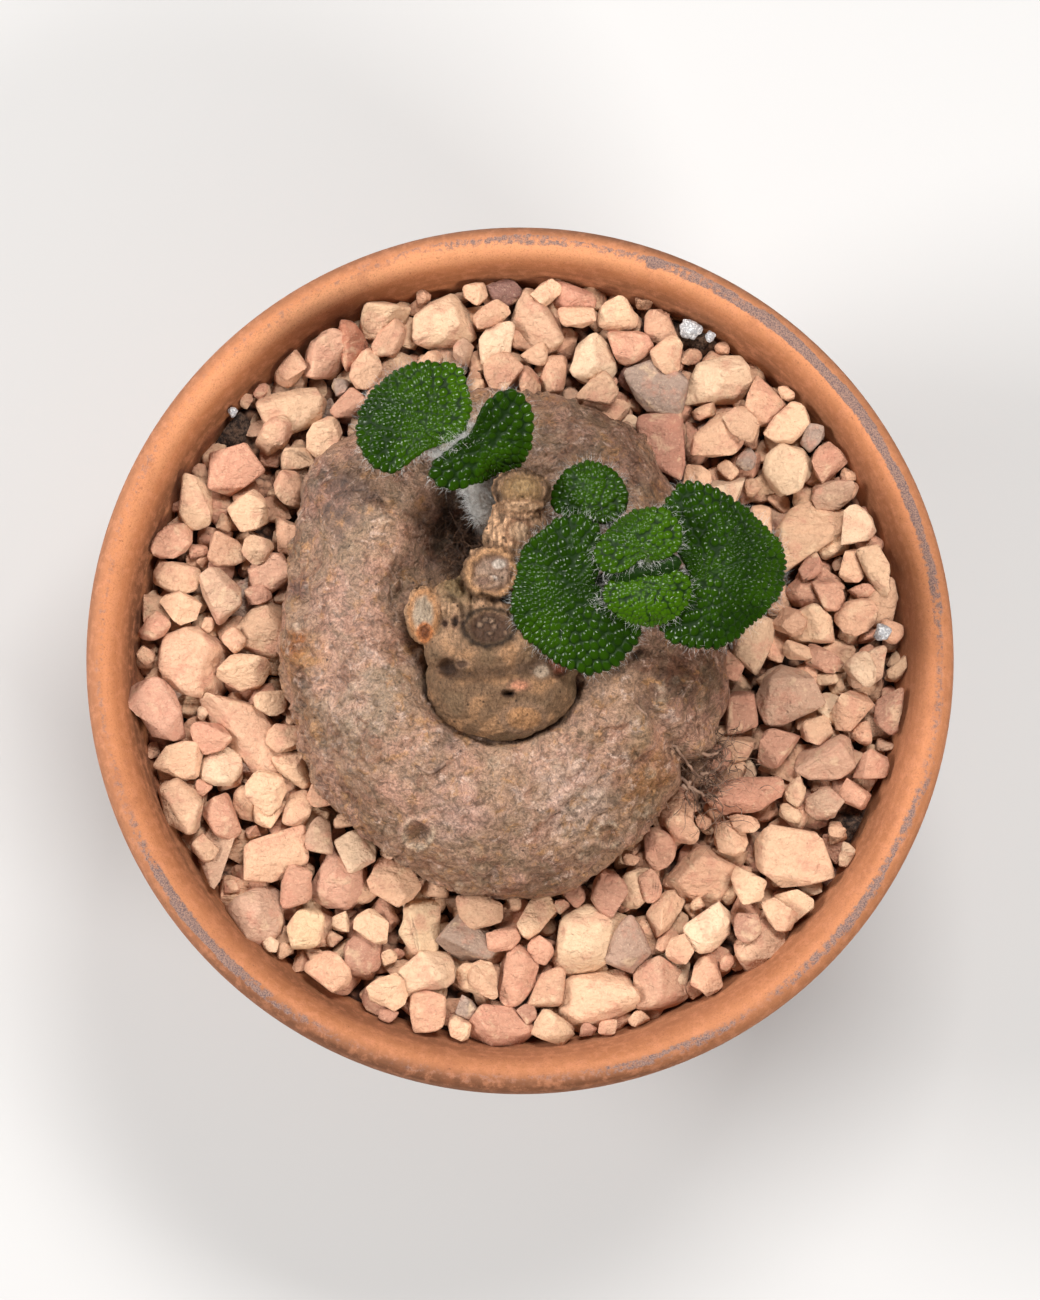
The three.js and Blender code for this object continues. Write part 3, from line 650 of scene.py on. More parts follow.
# Folds and cracks: the points they run through, their half width, depth, and how dark the painted shade in
# them is.
CROWN_FOLDS = [
    ([(-18, -3.6), (-15, -5), (-12, -5.6), (-7, -5.4), (-1, -4.4), (3, -3), (5, -1)], 1.6, 1.4, 0.65),
    ([(-9, 13.4), (-6, 12.3), (-2.6, 11.9), (1, 12.6)], 0.7, 1.5, 0.9),
    ([(-4.4, 31.6), (-1.4, 31.2), (1, 30.6), (4.6, 31.4)], 0.4, 0.5, 0.6),
    ([(-17, 13.8), (-14, 10.6), (-13.6, 6)], 0.6, 0.9, 0.6),
    ([(-10, 23.4), (-8, 25.4), (-6, 29)], 0.4, 0.5, 0.4),
]


def trunk_shape():
    trunk = bmesh.new()
    bmesh.ops.create_icosphere(trunk, subdivisions=5, radius=1)
    spine = curve_through([place for place, _ in TRUNK], TRUNK_STEPS)
    girth = curve_through([half for _, half in TRUNK], TRUNK_STEPS)
    for vert in trunk.verts:
        x, y, z = vert.co
        step = round(TRUNK_STEPS * math.acos(max(-1, min(1, -y))) / math.pi)
        out = max(math.hypot(x, z), 1e-6)
        width, height = girth[step] * out ** (TRUNK_BLUNTNESS - 1)
        vert.co = Vector(spine[step]) + Vector((x * width, 0, z * height))
    return trunk


def grown_together(shape, grain, rounds):
    """One even skin round all the lumps of a shape."""
    mesh = bpy.data.meshes.new("lumps")
    shape.to_mesh(mesh)
    shape.free()
    mould = bpy.data.objects.new("lumps", mesh)
    bpy.context.scene.collection.objects.link(mould)
    skin = mould.modifiers.new("skin", "REMESH")
    skin.mode = "VOXEL"
    skin.voxel_size = grain
    smooth = mould.modifiers.new("smooth", "SMOOTH")
    smooth.iterations = rounds
    result = bmesh.new()
    result.from_object(mould, bpy.context.evaluated_depsgraph_get())
    bpy.data.objects.remove(mould)
    bpy.data.meshes.remove(mesh)
    bmesh.ops.triangulate(result, faces=result.faces[:])
    return result


def add_lump(shape, middle, half):
    """Adds an egg-shaped lump with these half sizes."""
    stand = Matrix.Translation(middle) @ Matrix.Diagonal((*half, 1))
    bmesh.ops.create_icosphere(shape, subdivisions=4, radius=1, matrix=stand)


def from_fold(x, y, points):
    """How far points lie from a fold, in millimetres."""
    line = curve_through(points, 6 * len(points))
    return np.min([np.hypot(x - px, y - py) for px, py in line], axis=0)


def crown_shape():
    wood = trunk_shape()
    for middle, half in CROWN_LUMPS:
        add_lump(wood, middle, half)
    shape = grown_together(wood, CROWN_GRAIN, 8)
    whole = shape.verts[:] + shape.edges[:] + shape.faces[:]
    place, down = CROWN_CUT
    bmesh.ops.bisect_plane(shape, geom=whole, plane_co=place, plane_no=down, clear_outer=True)
    bmesh.ops.holes_fill(shape, edges=[edge for edge in shape.edges if edge.is_boundary])
    bmesh.ops.triangulate(shape, faces=shape.faces[:])
    shape.normal_update()
    places = points_of(shape)
    x, y, z = places.T
    ragged = lumps_at(places, 1.3, 12)
    lift = np.zeros(len(places))
    for place, half, middle, rim, _, _ in CROWN_MARKS:
        away = from_mark(x, y, place, half) + 0.12 * ragged
        lift += middle * (1 - smooth_step(away, 0.55, 0.95)) + rim * bell(away - 1.05, 0.16)
    for points, half_width, depth, _ in CROWN_FOLDS:
        away = from_fold(x, y, points) / half_width + 0.35 * ragged
        lift += depth * (0.15 * bell(away - 2.2, 0.9) - bell(away))
    lift *= z > CROWN_TOP
    woody = smooth_step(y, -4, 10)
    for index, place in enumerate(places):
        along = (2.6 * place[0], 0.4 * place[1], 1.6 * place[2])
        fibres = 0.8 * lumps(along, 2.4, 14) + 0.5 * lumps(along, 1.1, 15)
        smooth = 0.5 * lumps(place, 6, 16) + 0.35 * lumps(place, 2.2, 17) + 0.2 * lumps(place, 0.9, 18)
        lift[index] += smooth + woody[index] * (fibres + 0.5 * lumps(place, 2.6, 19))
    lift_skin(shape, lift)
    return shape


def crown_colours(places):
    """Dark at the foot and paler up the wood, with streaks, and with the scars and the painted shade of the
    folds laid over.
    """
    x, y, _ = places.T
    ragged = lumps_at(places, 1.3, 12)
    patchy = lumps_at(places, 5, 20)
    colours = np.tile(plain_tone(FOOT_TONE), (len(places), 1))
    lay_over(colours, smooth_step(y + 3 * patchy, -6, 14), WOOD_TONE)
    lay_over(colours, 0.55 * smooth_step(patchy, 0.02, 0.37), (196, 146, 104))
    lay_over(colours, 0.55 * smooth_step(-patchy, 0.12, 0.47), (130, 104, 78))
    streaks = lumps_at(places * (2.4, 0.4, 1), 1.5, 30) + 0.6 * lumps_at(places * (2.2, 0.6, 1), 0.7, 31)
    colours *= np.clip(1 + (1.1 * smooth_step(y, 8, 20) * streaks)[:, None], 0.35, 1.5)
    for place, half, _, _, middle, rim in CROWN_MARKS:
        away = from_mark(x, y, place, half) + 0.12 * ragged
        ring = bell(away - 1, np.clip(0.75 / min(half), 0.13, 0.24))
        lay_over(colours, 0.95 * (1 - smooth_step(away, 0.7, 0.95)), middle)
        lay_over(colours, 0.92 * ring, rim)
    for points, half_width, _, fold_shade in CROWN_FOLDS:
        away = from_fold(x, y, points) / half_width + 0.35 * ragged
        # painted shade in the folds and cracks
        lay_over(colours, fold_shade * bell(away, 1.1), FOLD_SHADE_TONE)
    return colours


def crown_finish():
    wood = Finish("crown_wood", 0.6, Specular_IOR_Level=0.2)
    plain = wood.painted("bark", "Color")
    fibres = wood.cloudy(1.1, 6, 0.7, 1, at=wood.stretched(1.3, 0.7, 1))
    scurf = wood.cloudy(0.6, 4, 0.7, 0.8)
    lines = wood.levels(fibres, 0.36, 0.58, 0.66, 1.12)
    shade = wood.combined("MULTIPLY", lines, wood.levels(scurf, 0.38, 0.62, 0.76, 1.2))
    plain = wood.mix(1, plain, shade, "MULTIPLY")
    plain = wood.patched(plain, (0.7, 3, 0.6), 0.62, 0.72, 0.75, (64, 44, 34))
    pits = wood.levels(wood.cells(3.1), 0.06, 0.14, 0.8, 0)
    plain = wood.mix(pits, plain, tone(50, 34, 26))
    relief = wood.raised(scurf, 0.3, wood.raised(fibres, 0.8))
    return wood.done(plain, relief, wood.levels(wood.painted("gloss"), 0, 1, 0.55, 0.28))


crown = add_piece("crown", crown_shape(), crown_finish(), "bark", "tuber")
crown_places = places_of(crown)
paint(crown, "bark", crown_colours(crown_places))
shine = from_mark(*crown_places[:, :2].T, *SHINY_KNOB)
paint(crown, "gloss", 1 - smooth_step(shine, 0.7, 1.1))


# The old roots: a few thick ones on the right that creep out of the crease, with a tangle of fine dry fibres
# where they go down among the stones, and one thread that lies on the tuber at the front.
ROOT_RADIUS = 0.7
ROOTS = [
    [(33.6, -17.6, 127), (37.2, -22, 123.2), (41, -26.6, 116.4), (44.2, -29, 111.6), (47.6, -30.6, 109.6)],
    [(40, -21, 117), (45, -23.4, 115), (48.4, -22, 111.4), (50.4, -18.6, 109.8)],
    [(37, -27, 114), (41.6, -32, 113), (43, -36.6, 109.8)],
    [(24.4, -10.4, 137.6), (28.4, -13.2, 134.4), (32.4, -17.6, 129.6), (35.6, -21.4, 124.6), (39, -25, 118)],
    [(43.4, -28, 113), (46.6, -27.4, 112), (49, -25, 110.4), (51.4, -24.6, 109)],
    [(41, -29.6, 113.4), (40, -33, 111), (41.6, -36, 108.6)],
    [(39, -30.6, 113), (44, -32.6, 110.6), (48.6, -33.6, 108.6)],
]
ROOT_FIBRES = 170
ROOT_FIBRE_BED = (44, -27, 110), (4.4, 5.4, 1.2)  # the middle of the tangle, and how far it strays
ROOT_FIBRE_RADIUS = 0.16
THREAD_ROOT = [(-24.6, -26.6), (-21.6, -28.2), (-19.4, -27.6), (-17.6, -26)]


def tube(path, radii, sides):
    """A closed round rod along a path, with a radius at each of its points."""
    path = [Vector(point) for point in path]
    rod = bmesh.new()
    face = None
    for index, (place, radius) in enumerate(zip(path, radii)):
        ahead = path[min(index + 1, len(path) - 1)] - path[max(index - 1, 0)]
        stand = Matrix.Translation(place) @ ahead.to_track_quat("Z", "Y").to_matrix().to_4x4()
        turns = [TURN * side / sides for side in range(sides)]
        ring = [stand @ Vector((radius * math.cos(turn), radius * math.sin(turn), 0)) for turn in turns]
        if face is None:
            face = rod.faces.new([rod.verts.new(point) for point in ring])
        else:
            grown = bmesh.ops.extrude_face_region(rod, geom=[face], use_keep_orig=index == 1)["geom"]
            face = next(part for part in grown if isinstance(part, bmesh.types.BMFace))
            for loop, point in zip(face.loops, ring):
                loop.vert.co = point
    bmesh.ops.recalc_face_normals(rod, faces=rod.faces[:])
    return rod


def joined(shapes):
    """One shape that holds all the given ones."""
    whole = bmesh.new()
    for shape in shapes:
        mesh = bpy.data.meshes.new("part")
        shape.to_mesh(mesh)
        shape.free()
        whole.from_mesh(mesh)
        bpy.data.meshes.remove(mesh)
    return whole


def unit(vectors):
    return vectors / np.linalg.norm(vectors, axis=-1)[..., None]


def sideways(chance, ahead):
    """A direction square to each of the given ones, turned at random."""
    return unit(np.cross(ahead, chance.normal(0, 1, ahead.shape)))


def hairs(chance, roots, directions, lengths, radius, curl, steps=2):
    """Many thin tapered hairs, each bent its own way, as one shape."""
    shares = np.linspace(0, 1, steps + 1)
    pattern = tube([(0, 0, share) for share in shares], 1 - 0.75 * shares, 3)
    flat = points_of(pattern)
    hair = bpy.data.meshes.new("hair")
    pattern.to_mesh(hair)
    pattern.free()
    shape = bmesh.new()
    for _ in range(len(roots)):
        shape.from_mesh(hair)
    bpy.data.meshes.remove(hair)
    ahead = unit(directions)
    aside = sideways(chance, ahead)
    third = np.cross(ahead, aside)
    x, y, along = (flat[:, axis][None, :, None] for axis in range(3))
    reach = np.asarray(lengths)[:, None, None]
    bend = curl * chance.uniform(0.3, 1.7, (len(roots), 1, 1)) * along ** 2
    wave = 0.5 * curl * np.sin(5 * along + chance.uniform(0, TURN, (len(roots), 1, 1))) * along
    places = roots[:, None] + reach * (along * ahead[:, None] + bend * aside[:, None] + wave * third[:, None])
    places = places + radius * (x * aside[:, None] + y * third[:, None])
    move_points(shape, places.reshape(-1, 3))
    return shape


def root_shape():
    chance = np.random.default_rng(21)
    parts = []
    for path in ROOTS:
        path = curve_through(path, 5 * len(path))
        path[1:-1] += chance.normal(0, 0.14, (len(path) - 2, 3))
        thick = ROOT_RADIUS * chance.uniform(0.55, 1)
        parts.append(tube(path, np.linspace(thick, 0.3 * thick, len(path)), 7))
    thread = []
    for x, y in curve_through(THREAD_ROOT, 14):
        out = np.array([x, y]) - TUBER_CENTRE
        turn = math.atan2(out[1], out[0])
        share = (np.linalg.norm(out) / float(outline_radius(TUBER_OUTLINE, turn))) ** 1.25
        direction = np.array([[share * math.cos(turn), share * math.sin(turn), math.sqrt(1 - share ** 2)]])
        thread.append(tuber_skin(direction)[0] + (0, 0, 0.5 + 0.3 * chance.random()))
    parts.append(tube(thread, np.linspace(0.3, 0.5, len(thread)), 6))
    middle, spread = ROOT_FIBRE_BED
    roots = middle + chance.normal(0, 1, (ROOT_FIBRES, 3)) * spread
    directions = chance.normal(0, 1, (ROOT_FIBRES, 3)) * (1, 1, 0.3) + (0.3, 0, 0)
    lengths = chance.uniform(3, 9, ROOT_FIBRES)
    parts.append(hairs(chance, roots, directions, lengths, ROOT_FIBRE_RADIUS, 0.8, 5))
    return joined(parts)


def root_finish():
    root = Finish("dry_root", 0.75)
    colour = root.mix(root.levels(root.cloudy(3, 3), 0.35, 0.65), tone(100, 74, 60), tone(168, 134, 112))
    return root.done(colour, root.raised(root.cloudy(0.7, 3, 0.6), 0.3))


add_piece("crease_roots", root_shape(), root_finish(), "bark", "tuber")


# The top dressing: crushed sandy stones of all sizes, poured on the soil round the tuber. Each one is bounded
# by flat breaks with worn edges, and dropped where it comes to lie lowest among those already there.
GRAVEL_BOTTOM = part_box("gravel")[0].z / MM
GRAVEL_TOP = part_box("gravel")[1].z / MM
BED_TOP = 97
CELL = 0.6  # of the height map that the stones are dropped on
REACH = 115  # half the width of that map
BLOCKED = 1000  # height where no stone can lie
TRIES = 130  # places that are tried for each stone
GREAT_TRIES = 12  # places that are tried for each stone that stands out, all near its own
# Rounds of pouring: how many stones, their smallest and largest size, and how far their tops stay down.
LOWER_POURS = [(420, 6, 11, 5), (300, 3, 6, 6)]
UPPER_POURS = [(14, 13, 15, 0), (640, 7.5, 12.5, 0), (340, 5.5, 9, 1.5), (240, 3.5, 6, 3)]
SETTLING = 0.15  # how far the stones' worn corners sink in among each other, as a share of their size
WORN_EDGE = 0.09  # width of a stone's worn edges, as a share of its size
LARGE_STONE = 7.5  # above this size the worn edges are rounded in two steps
SEEN_CELLS = 3  # a stone that shows over no more cells than this is left out
# Colours of the stones as seen, with how common each is.
STONE_TONES = [
    ((244, 204, 168), 3),
    ((240, 194, 156), 6),
    ((232, 182, 146), 8),
    ((226, 172, 138), 7),
    ((218, 160, 130), 5),
    ((210, 166, 136), 2.5),
    ((196, 142, 116), 1.6),
    ((182, 154, 136), 0.8),
    ((146, 106, 94), 0.3),
]
# The stones that stand out: place, length and width, direction in degrees, and colour.
GREAT_STONES = [
    ((-80.1, -0.9), (17, 15), 60, (232, 180, 146)),
    ((-57.3, -26.6), (26, 15), -63, (234, 182, 148)),
    ((-88, -11.2), (17, 10), -63, (226, 168, 140)),
    ((-62.4, 8.4), (14, 11.5), 70, (226, 178, 142)),
    ((-69.2, 47.4), (12, 11), 30, (222, 160, 130)),
    ((35.8, 54.5), (14, 10.5), 80, (198, 140, 116)),
    ((50.3, 68.3), (15, 13), 10, (236, 196, 160)),
    ((66.3, 46.4), (13, 12), 120, (240, 200, 162)),
    ((71.4, 33.9), (22, 9.5), 13, (238, 188, 150)),
    ((64.9, -9.2), (14.5, 13), 20, (208, 164, 136)),
    ((54, -32), (20, 8.5), 8, (226, 160, 130)),
    ((66.6, -48.2), (17, 11.5), 5, (232, 184, 148)),
    ((45, -53.1), (18, 14), 75, (226, 172, 138)),
    ((14.5, -68.8), (19, 14), 60, (238, 198, 160)),
    ((16.9, -81), (21, 13), 10, (236, 188, 152)),
    ((-14.6, -67.6), (12.5, 10), -30, (178, 148, 128)),
    ((-23.4, -65.6), (13.5, 9.5), 80, (238, 198, 158)),
    ((57.4, -68.8), (16, 11.5), 60, (230, 180, 146)),
    ((-5.7, -89.6), (17, 7.5), -3, (226, 164, 134)),
    ((-18.8, 82), (13, 12), 20, (234, 192, 156)),
    ((-32.8, 84.6), (12.5, 8), 15, (236, 192, 154)),
    ((-47.4, 74.6), (12.5, 9.5), 60, (228, 174, 142)),
    ((-41, 75.9), (12.5, 6.5), -75, (198, 128, 98)),
    ((3, 82.8), (14, 10), -20, (226, 178, 144)),
    ((17.8, 72.9), (10.5, 9.5), 0, (240, 202, 166)),
    ((14.5, 89.4), (13.5, 6.5), -15, (222, 158, 130)),
    ((-59.5, 21.4), (11.5, 10), 30, (222, 168, 138)),
    ((-42, -55.8), (13, 12), 40, (220, 164, 136)),
    ((-62.7, -63.2), (14, 11), -60, (214, 168, 140)),
    ((-53.4, -64.4), (10.5, 7.5), 80, (236, 196, 154)),
    ((77, -24.7), (12, 10.5), 10, (220, 170, 140)),
    ((58.1, 4.8), (12.5, 10), 70, (232, 188, 152)),
    ((31.4, -80.4), (14.5, 8.5), 70, (226, 172, 140)),
    ((-22.4, -77.4), (16, 8.5), 5, (234, 192, 156)),
    ((27, -68.8), (11.5, 10.5), 40, (188, 152, 130)),
]
BARE_PATCHES = [((44, 81), 4.4), ((-71, 57), 4.2), ((82.5, -40), 3.6)]  # where soil shows: place and radius
HEAP_HEIGHT = 6  # of the soil in those places
BED_HOLE = 30  # radius of the hole in the lowest level, under the tuber
# Crumbs of white perlite: place and size.
PERLITE = [((41.6, 80.6, 105), 5), ((88, 6.7, 106.4), 4), ((-70, 60.6, 104), 2.4), ((46.4, 79, 104.6), 2.6)]


def height_map():
    """Height of what the stones fall on: the soil, the leaning wall of the pan and the tuber's skin."""
    steps = np.arange(-REACH, REACH + CELL, CELL)
    x, y = np.meshgrid(steps, steps)
    radius = np.hypot(x, y)
    wall = [(INNER_TOP_RADIUS - 1.4, 0), (INNER_TOP_RADIUS - 1, BED_TOP), (INNER_TOP_RADIUS, LIP_START)]
    wall.append((INNER_TOP_RADIUS + 1, BLOCKED))
    heights = np.maximum(BED_TOP, np.interp(radius, *zip(*wall)))
    from_tuber = np.hypot(x - TUBER_CENTRE[0], y - TUBER_CENTRE[1])
    angle = np.arctan2(y - TUBER_CENTRE[1], x - TUBER_CENTRE[0])
    heights[from_tuber < outline_radius(TUBER_OUTLINE, angle) - 1.3] = BLOCKED
    for (cx, cy), radius in BARE_PATCHES:
        heights[np.hypot(x - cx, y - cy) < radius] = BLOCKED
    return heights


def broken_faces(chance, half, turn):
    """The flat breaks that bound one stone: their directions and distances from its middle."""
    sides = np.vstack([np.eye(3), -np.eye(3)]) + chance.normal(0, 0.3, (6, 3))
    corners = chance.normal(0, 1, (int(chance.integers(7, 12)), 3))
    facing = unit(np.vstack([sides, corners]))
    distance = np.linalg.norm(facing * half, axis=1)
    distance[:6] *= chance.uniform(0.86, 1.04, 6)
    distance[6:] *= chance.uniform(0.88, 1.1, len(corners))
    tilt = Matrix.Rotation(chance.normal(0, 0.2), 3, "X") @ Matrix.Rotation(chance.normal(0, 0.2), 3, "Y")
    return facing @ np.array(Matrix.Rotation(turn, 3, "Z") @ tilt).T, distance


def footprint(facing, distance, size):
    """Lowest and highest level of a stone over each cell that it covers."""
    cells = int(0.75 * size / CELL) + 1
    steps = np.arange(-cells, cells + 1) * CELL
    x, y = np.meshgrid(steps, steps)
    low, high = np.full(x.shape, -np.inf), np.full(x.shape, np.inf)
    for (nx, ny, nz), reach in zip(facing, distance):
        left = reach - nx * x - ny * y
        if nz > 0.01:
            high = np.minimum(high, left / nz)
        elif nz < -0.01:
            low = np.maximum(low, left / nz)
        else:
            low[left < 0] = np.inf
    covered = low < high
    return np.where(covered, low, np.inf), np.where(covered, high, -np.inf)


class Pour:
    """The stones laid so far, and how high they reach over each cell of the pan."""

    def __init__(self, chance):
        self.chance = chance
        self.heights = height_map()
        self.owner = np.full(self.heights.shape, -1)
        self.stones = []

    def lay(self, half, turn, down, place=None, colour=None):
        """Lays one stone at its place, or where it comes to lie lowest, if its top stays down far enough."""
        size = 2 * max(half)
        facing, distance = broken_faces(self.chance, half, turn)
        low, high = footprint(facing, distance, size)
        reach = low.shape[0] // 2
        if place is None:
            radius = INNER_TOP_RADIUS * np.sqrt(self.chance.random(TRIES))
            angle = TURN * self.chance.random(TRIES)
            tries = np.stack([radius * np.cos(angle), radius * np.sin(angle)], axis=1)
        else:
            tries = np.array(place) + self.chance.normal(0, 0.7, (GREAT_TRIES, 2))
        best = None
        for x, y in tries:
            row, column = int((y + REACH) / CELL), int((x + REACH) / CELL)
            if min(row, column) < reach or max(row, column) >= len(self.heights) - reach:
                continue
            window = (slice(row - reach, row + reach + 1), slice(column - reach, column + reach + 1))
            level = (self.heights[window] - low).max() - SETTLING * size
            if best is None or level < best[0]:
                best = level, window, (column * CELL - REACH, row * CELL - REACH)
        level, window, (x, y) = best
        if place is not None:
            level = min(level, GRAVEL_TOP - high.max())
        if level + high.max() > GRAVEL_TOP - down + 0.01:
            return
        self.owner[window][level + high > self.heights[window]] = len(self.stones)
        self.heights[window] = np.maximum(self.heights[window], level + high)
        if colour is None:
            shares = np.array([share for _, share in STONE_TONES])
            colour = STONE_TONES[self.chance.choice(len(STONE_TONES), p=shares / shares.sum())][0]
        self.stones.append((facing, distance, size, (x, y, level), colour))

    def rounds(self, pours):
        """Lays rounds of stones of random sizes, each longer than it is wide and wider than it is thick."""
        for count, smallest, largest, down in pours:
            for _ in range(count):
                size = smallest + (largest - smallest) * self.chance.beta(1.3, 2)
                shape = [self.chance.uniform(*span) for span in ((0.95, 1.4), (0.7, 0.95), (0.4, 0.64))]
                self.lay(size / 2 * np.array(shape), self.chance.uniform(0, TURN), down)

    def shown(self):
        """Every stone that shows from above."""
        numbers, cells = np.unique(self.owner, return_counts=True)
        return [self.stones[number] for number in numbers[(numbers >= 0) & (cells > SEEN_CELLS)]]


def cut_stone(facing, distance, size):
    """A block that is cut at each break, with its edges worn round and its faces a little uneven."""
    stone = bmesh.new()
    bmesh.ops.create_cube(stone, size=3 * size)
    for normal, reach in zip(facing, distance):
        whole = stone.verts[:] + stone.edges[:] + stone.faces[:]
        cut = bmesh.ops.bisect_plane(
            stone, geom=whole, plane_co=normal * reach, plane_no=normal, clear_outer=True
        )
        edges = [part for part in cut["geom_cut"] if isinstance(part, bmesh.types.BMEdge)]
        if edges:
            bmesh.ops.contextual_create(stone, geom=edges)
    bmesh.ops.remove_doubles(stone, verts=stone.verts[:], dist=0.14 * size)
    bmesh.ops.bevel(
        stone, geom=stone.edges[:], offset=WORN_EDGE * size, segments=2 if size > LARGE_STONE else 1,
        profile=0.5, affect="EDGES", material=-1, clamp_overlap=True,
    )
    flats = [face for face in stone.faces if face.calc_area() > 0.04 * size * size]
    bmesh.ops.poke(stone, faces=flats, offset=0.03 * size)
    bmesh.ops.recalc_face_normals(stone, faces=stone.faces[:])
    places = points_of(stone)
    uneven = 0.08 * size * lumps_at(places, 0.45 * size, size)
    uneven += 0.05 * size * lumps_at(places, 0.2 * size, size)
    lift_skin(stone, uneven)
    return stone


def stone_finish():
    stone = Finish("crushed_stone", 0.85)
    own = stone.painted("stone", "Color")
    own = stone.patched(own, (6, 4, 0.6), 0.5, 0.66, 0.5, (214, 146, 120))
    own = stone.patched(own, (5, 3, 0.6, 0.5), 0.54, 0.7, 0.5, (244, 208, 168))
    grit = stone.cloudy(0.55, 4, 0.7)
    own = stone.mix(stone.levels(grit, 0.53, 0.68, 0, 0.3), own, tone(168, 118, 92))
    own = stone.mix(stone.levels(grit, 0.46, 0.32, 0, 0.35), own, tone(250, 214, 178))
    layers = stone.cloudy(1.5, 5, 0.62, 0.7, at=stone.stretched(0.75, 1.1, 1))
    relief = stone.raised(layers, 0.8, stone.raised(stone.cloudy(4, 3, 0.5), 1.8))
    return stone.done(own, stone.raised(grit, 0.25, relief))


pour = Pour(np.random.default_rng(11))
pour.rounds(LOWER_POURS)
for place, (length, width), direction, seen in GREAT_STONES:
    half = np.array([length / 2, width / 2, 0.28 * width + 0.08 * length])
    pour.lay(half, math.radians(direction), 0, place, seen)
pour.rounds(UPPER_POURS)
stones, stone_colours = [], []
for facing, distance, size, place, seen in pour.shown():
    stone = cut_stone(facing, distance, size)
    bmesh.ops.translate(stone, vec=place, verts=stone.verts[:])
    shade = pour.chance.uniform(0.88, 1.1)
    stone_colours.append(np.tile(shade * plain_tone(seen), (len(stone.verts), 1)))
    stones.append(stone)
gravel = add_piece("gravel_stones", joined(stones), stone_finish(), "gravel", "gravel")
paint(gravel, "stone", np.vstack(stone_colours))
facets = gravel.modifiers.new("flat_breaks", "WEIGHTED_NORMAL")
facets.mode = "FACE_AREA"
facets.weight = 55

perlite = []
for place, size in PERLITE:
    crumb = bmesh.new()
    bmesh.ops.create_icosphere(crumb, subdivisions=3, radius=size / 2)
    knobs = points_of(crumb)
    swell = 1 + 0.35 * lumps_at(knobs, 0.4 * size, size) + 0.2 * lumps_at(knobs, 1, 3)
    move_points(crumb, knobs * swell[:, None])
    bmesh.ops.translate(crumb, vec=place, verts=crumb.verts[:])
    perlite.append(crumb)


def perlite_finish():
    white = Finish("white_perlite", 0.8)
    specks = white.levels(white.cloudy(0.6, 3, 0.6), 0.4, 0.6)
    return white.done(white.mix(specks, tone(190, 188, 190), tone(250, 248, 246)), white.raised(specks, 0.3))


add_piece("perlite", joined(perlite), perlite_finish(), "gravel", "gravel")


def grit_finish():
    grit = Finish("grit_and_soil", 0.95)
    grains = grit.cells(2.6)
    stony = grit.mix(grit.levels(grit.cloudy(3, 3), 0.4, 0.6), tone(206, 156, 124), tone(168, 118, 92))
    stony = grit.mix(grit.levels(grains, 0.3, 0.75), stony, tone(66, 44, 34))
    crumbs = grit.mix(grit.levels(grit.cloudy(1.1, 4, 0.7), 0.4, 0.62), tone(40, 28, 22), tone(104, 80, 64))
    colour = grit.mix(grit.painted("bare"), stony, crumbs)
    return grit.done(colour, grit.raised(grains, -1.2, grit.raised(grit.cloudy(0.7, 3), 0.6)))


# The lowest level of the dressing: grit, and bare soil that is heaped up in a few places near the wall.
bed_profile = [(BED_HOLE, GRAVEL_BOTTOM), (INNER_TOP_RADIUS - 4.5, GRAVEL_BOTTOM)]
bed_profile.append((INNER_TOP_RADIUS - 2.3, BED_TOP))
bed_profile += [(radius, BED_TOP) for radius in np.arange(INNER_TOP_RADIUS - 4, BED_HOLE, -1.5)]
bed_shape = turned([*bed_profile, (BED_HOLE, BED_TOP)], 200)
bare = np.zeros(len(bed_shape.verts))
for index, vert in enumerate(bed_shape.verts):
    if vert.co.z > BED_TOP - 0.01:
        vert.co.z += 1.3 * lumps(vert.co, 3.4, 8) + 0.7 * lumps(vert.co, 1.6, 9)
        for (x, y), radius in BARE_PATCHES:
            heap = bell(math.hypot(vert.co.x - x, vert.co.y - y), 1.3 * radius)
            vert.co.z += HEAP_HEIGHT * heap
            bare[index] += heap
bed = add_piece("gravel_bed", bed_shape, grit_finish(), "gravel", "gravel")
paint(bed, "bare", smooth_step(bare, 0.15, 0.4))


# The two shoots: short and thick, one leaning to the back left and one to the right. They stand in the sunken
# middle of the tuber, and a felt of pale hairs hides their skin, with painted shade on it lower down in the
# hollow.
SHOOT_RADIUS = 3.4
SHOOTS = {
    "left": [(-6.4, 27, 114), (-7.8, 32, 124), (-9.8, 41, 136), (-14, 50.2, 144)],
    "right": [(10, 9, 120), (15, 12, 132), (23, 16.2, 140), (29.2, 19.8, 147.4)],
}
WOOL_HAIRS = {"left": 3200, "right": 800}
WOOL_RADIUS = 0.06
PAINTED_SHADE_LEVELS = (122, 132)  # the felt has painted shade below the first and none above the second


def wool_finish(name, dark, pale):
    wool = Finish(name, 0.9)
    felt = wool.cloudy(0.5, 4, 0.7, 1)
    colour = wool.mix(wool.levels(felt, 0.3, 0.6), tone(*dark), tone(*pale))
    # painted shade on the felt lower down
    colour = wool.mix(wool.painted("painted_shade_low"), colour, tone(80, 60, 46))
    return wool.done(colour, wool.raised(felt, 0.5))


def shoot_shape(path):
    """A round shoot with a swollen end, a little uneven along its length."""
    path = curve_through(path, 40)
    along = np.linspace(0, 1, len(path))
    radii = SHOOT_RADIUS * (1 + 0.08 * np.sin(9 * along) + 0.12 * bell(along - 1, 0.1))
    radii *= np.sqrt(np.clip((1 - along) / 0.06, 0.05, 1))
    return tube(path, radii, 32)


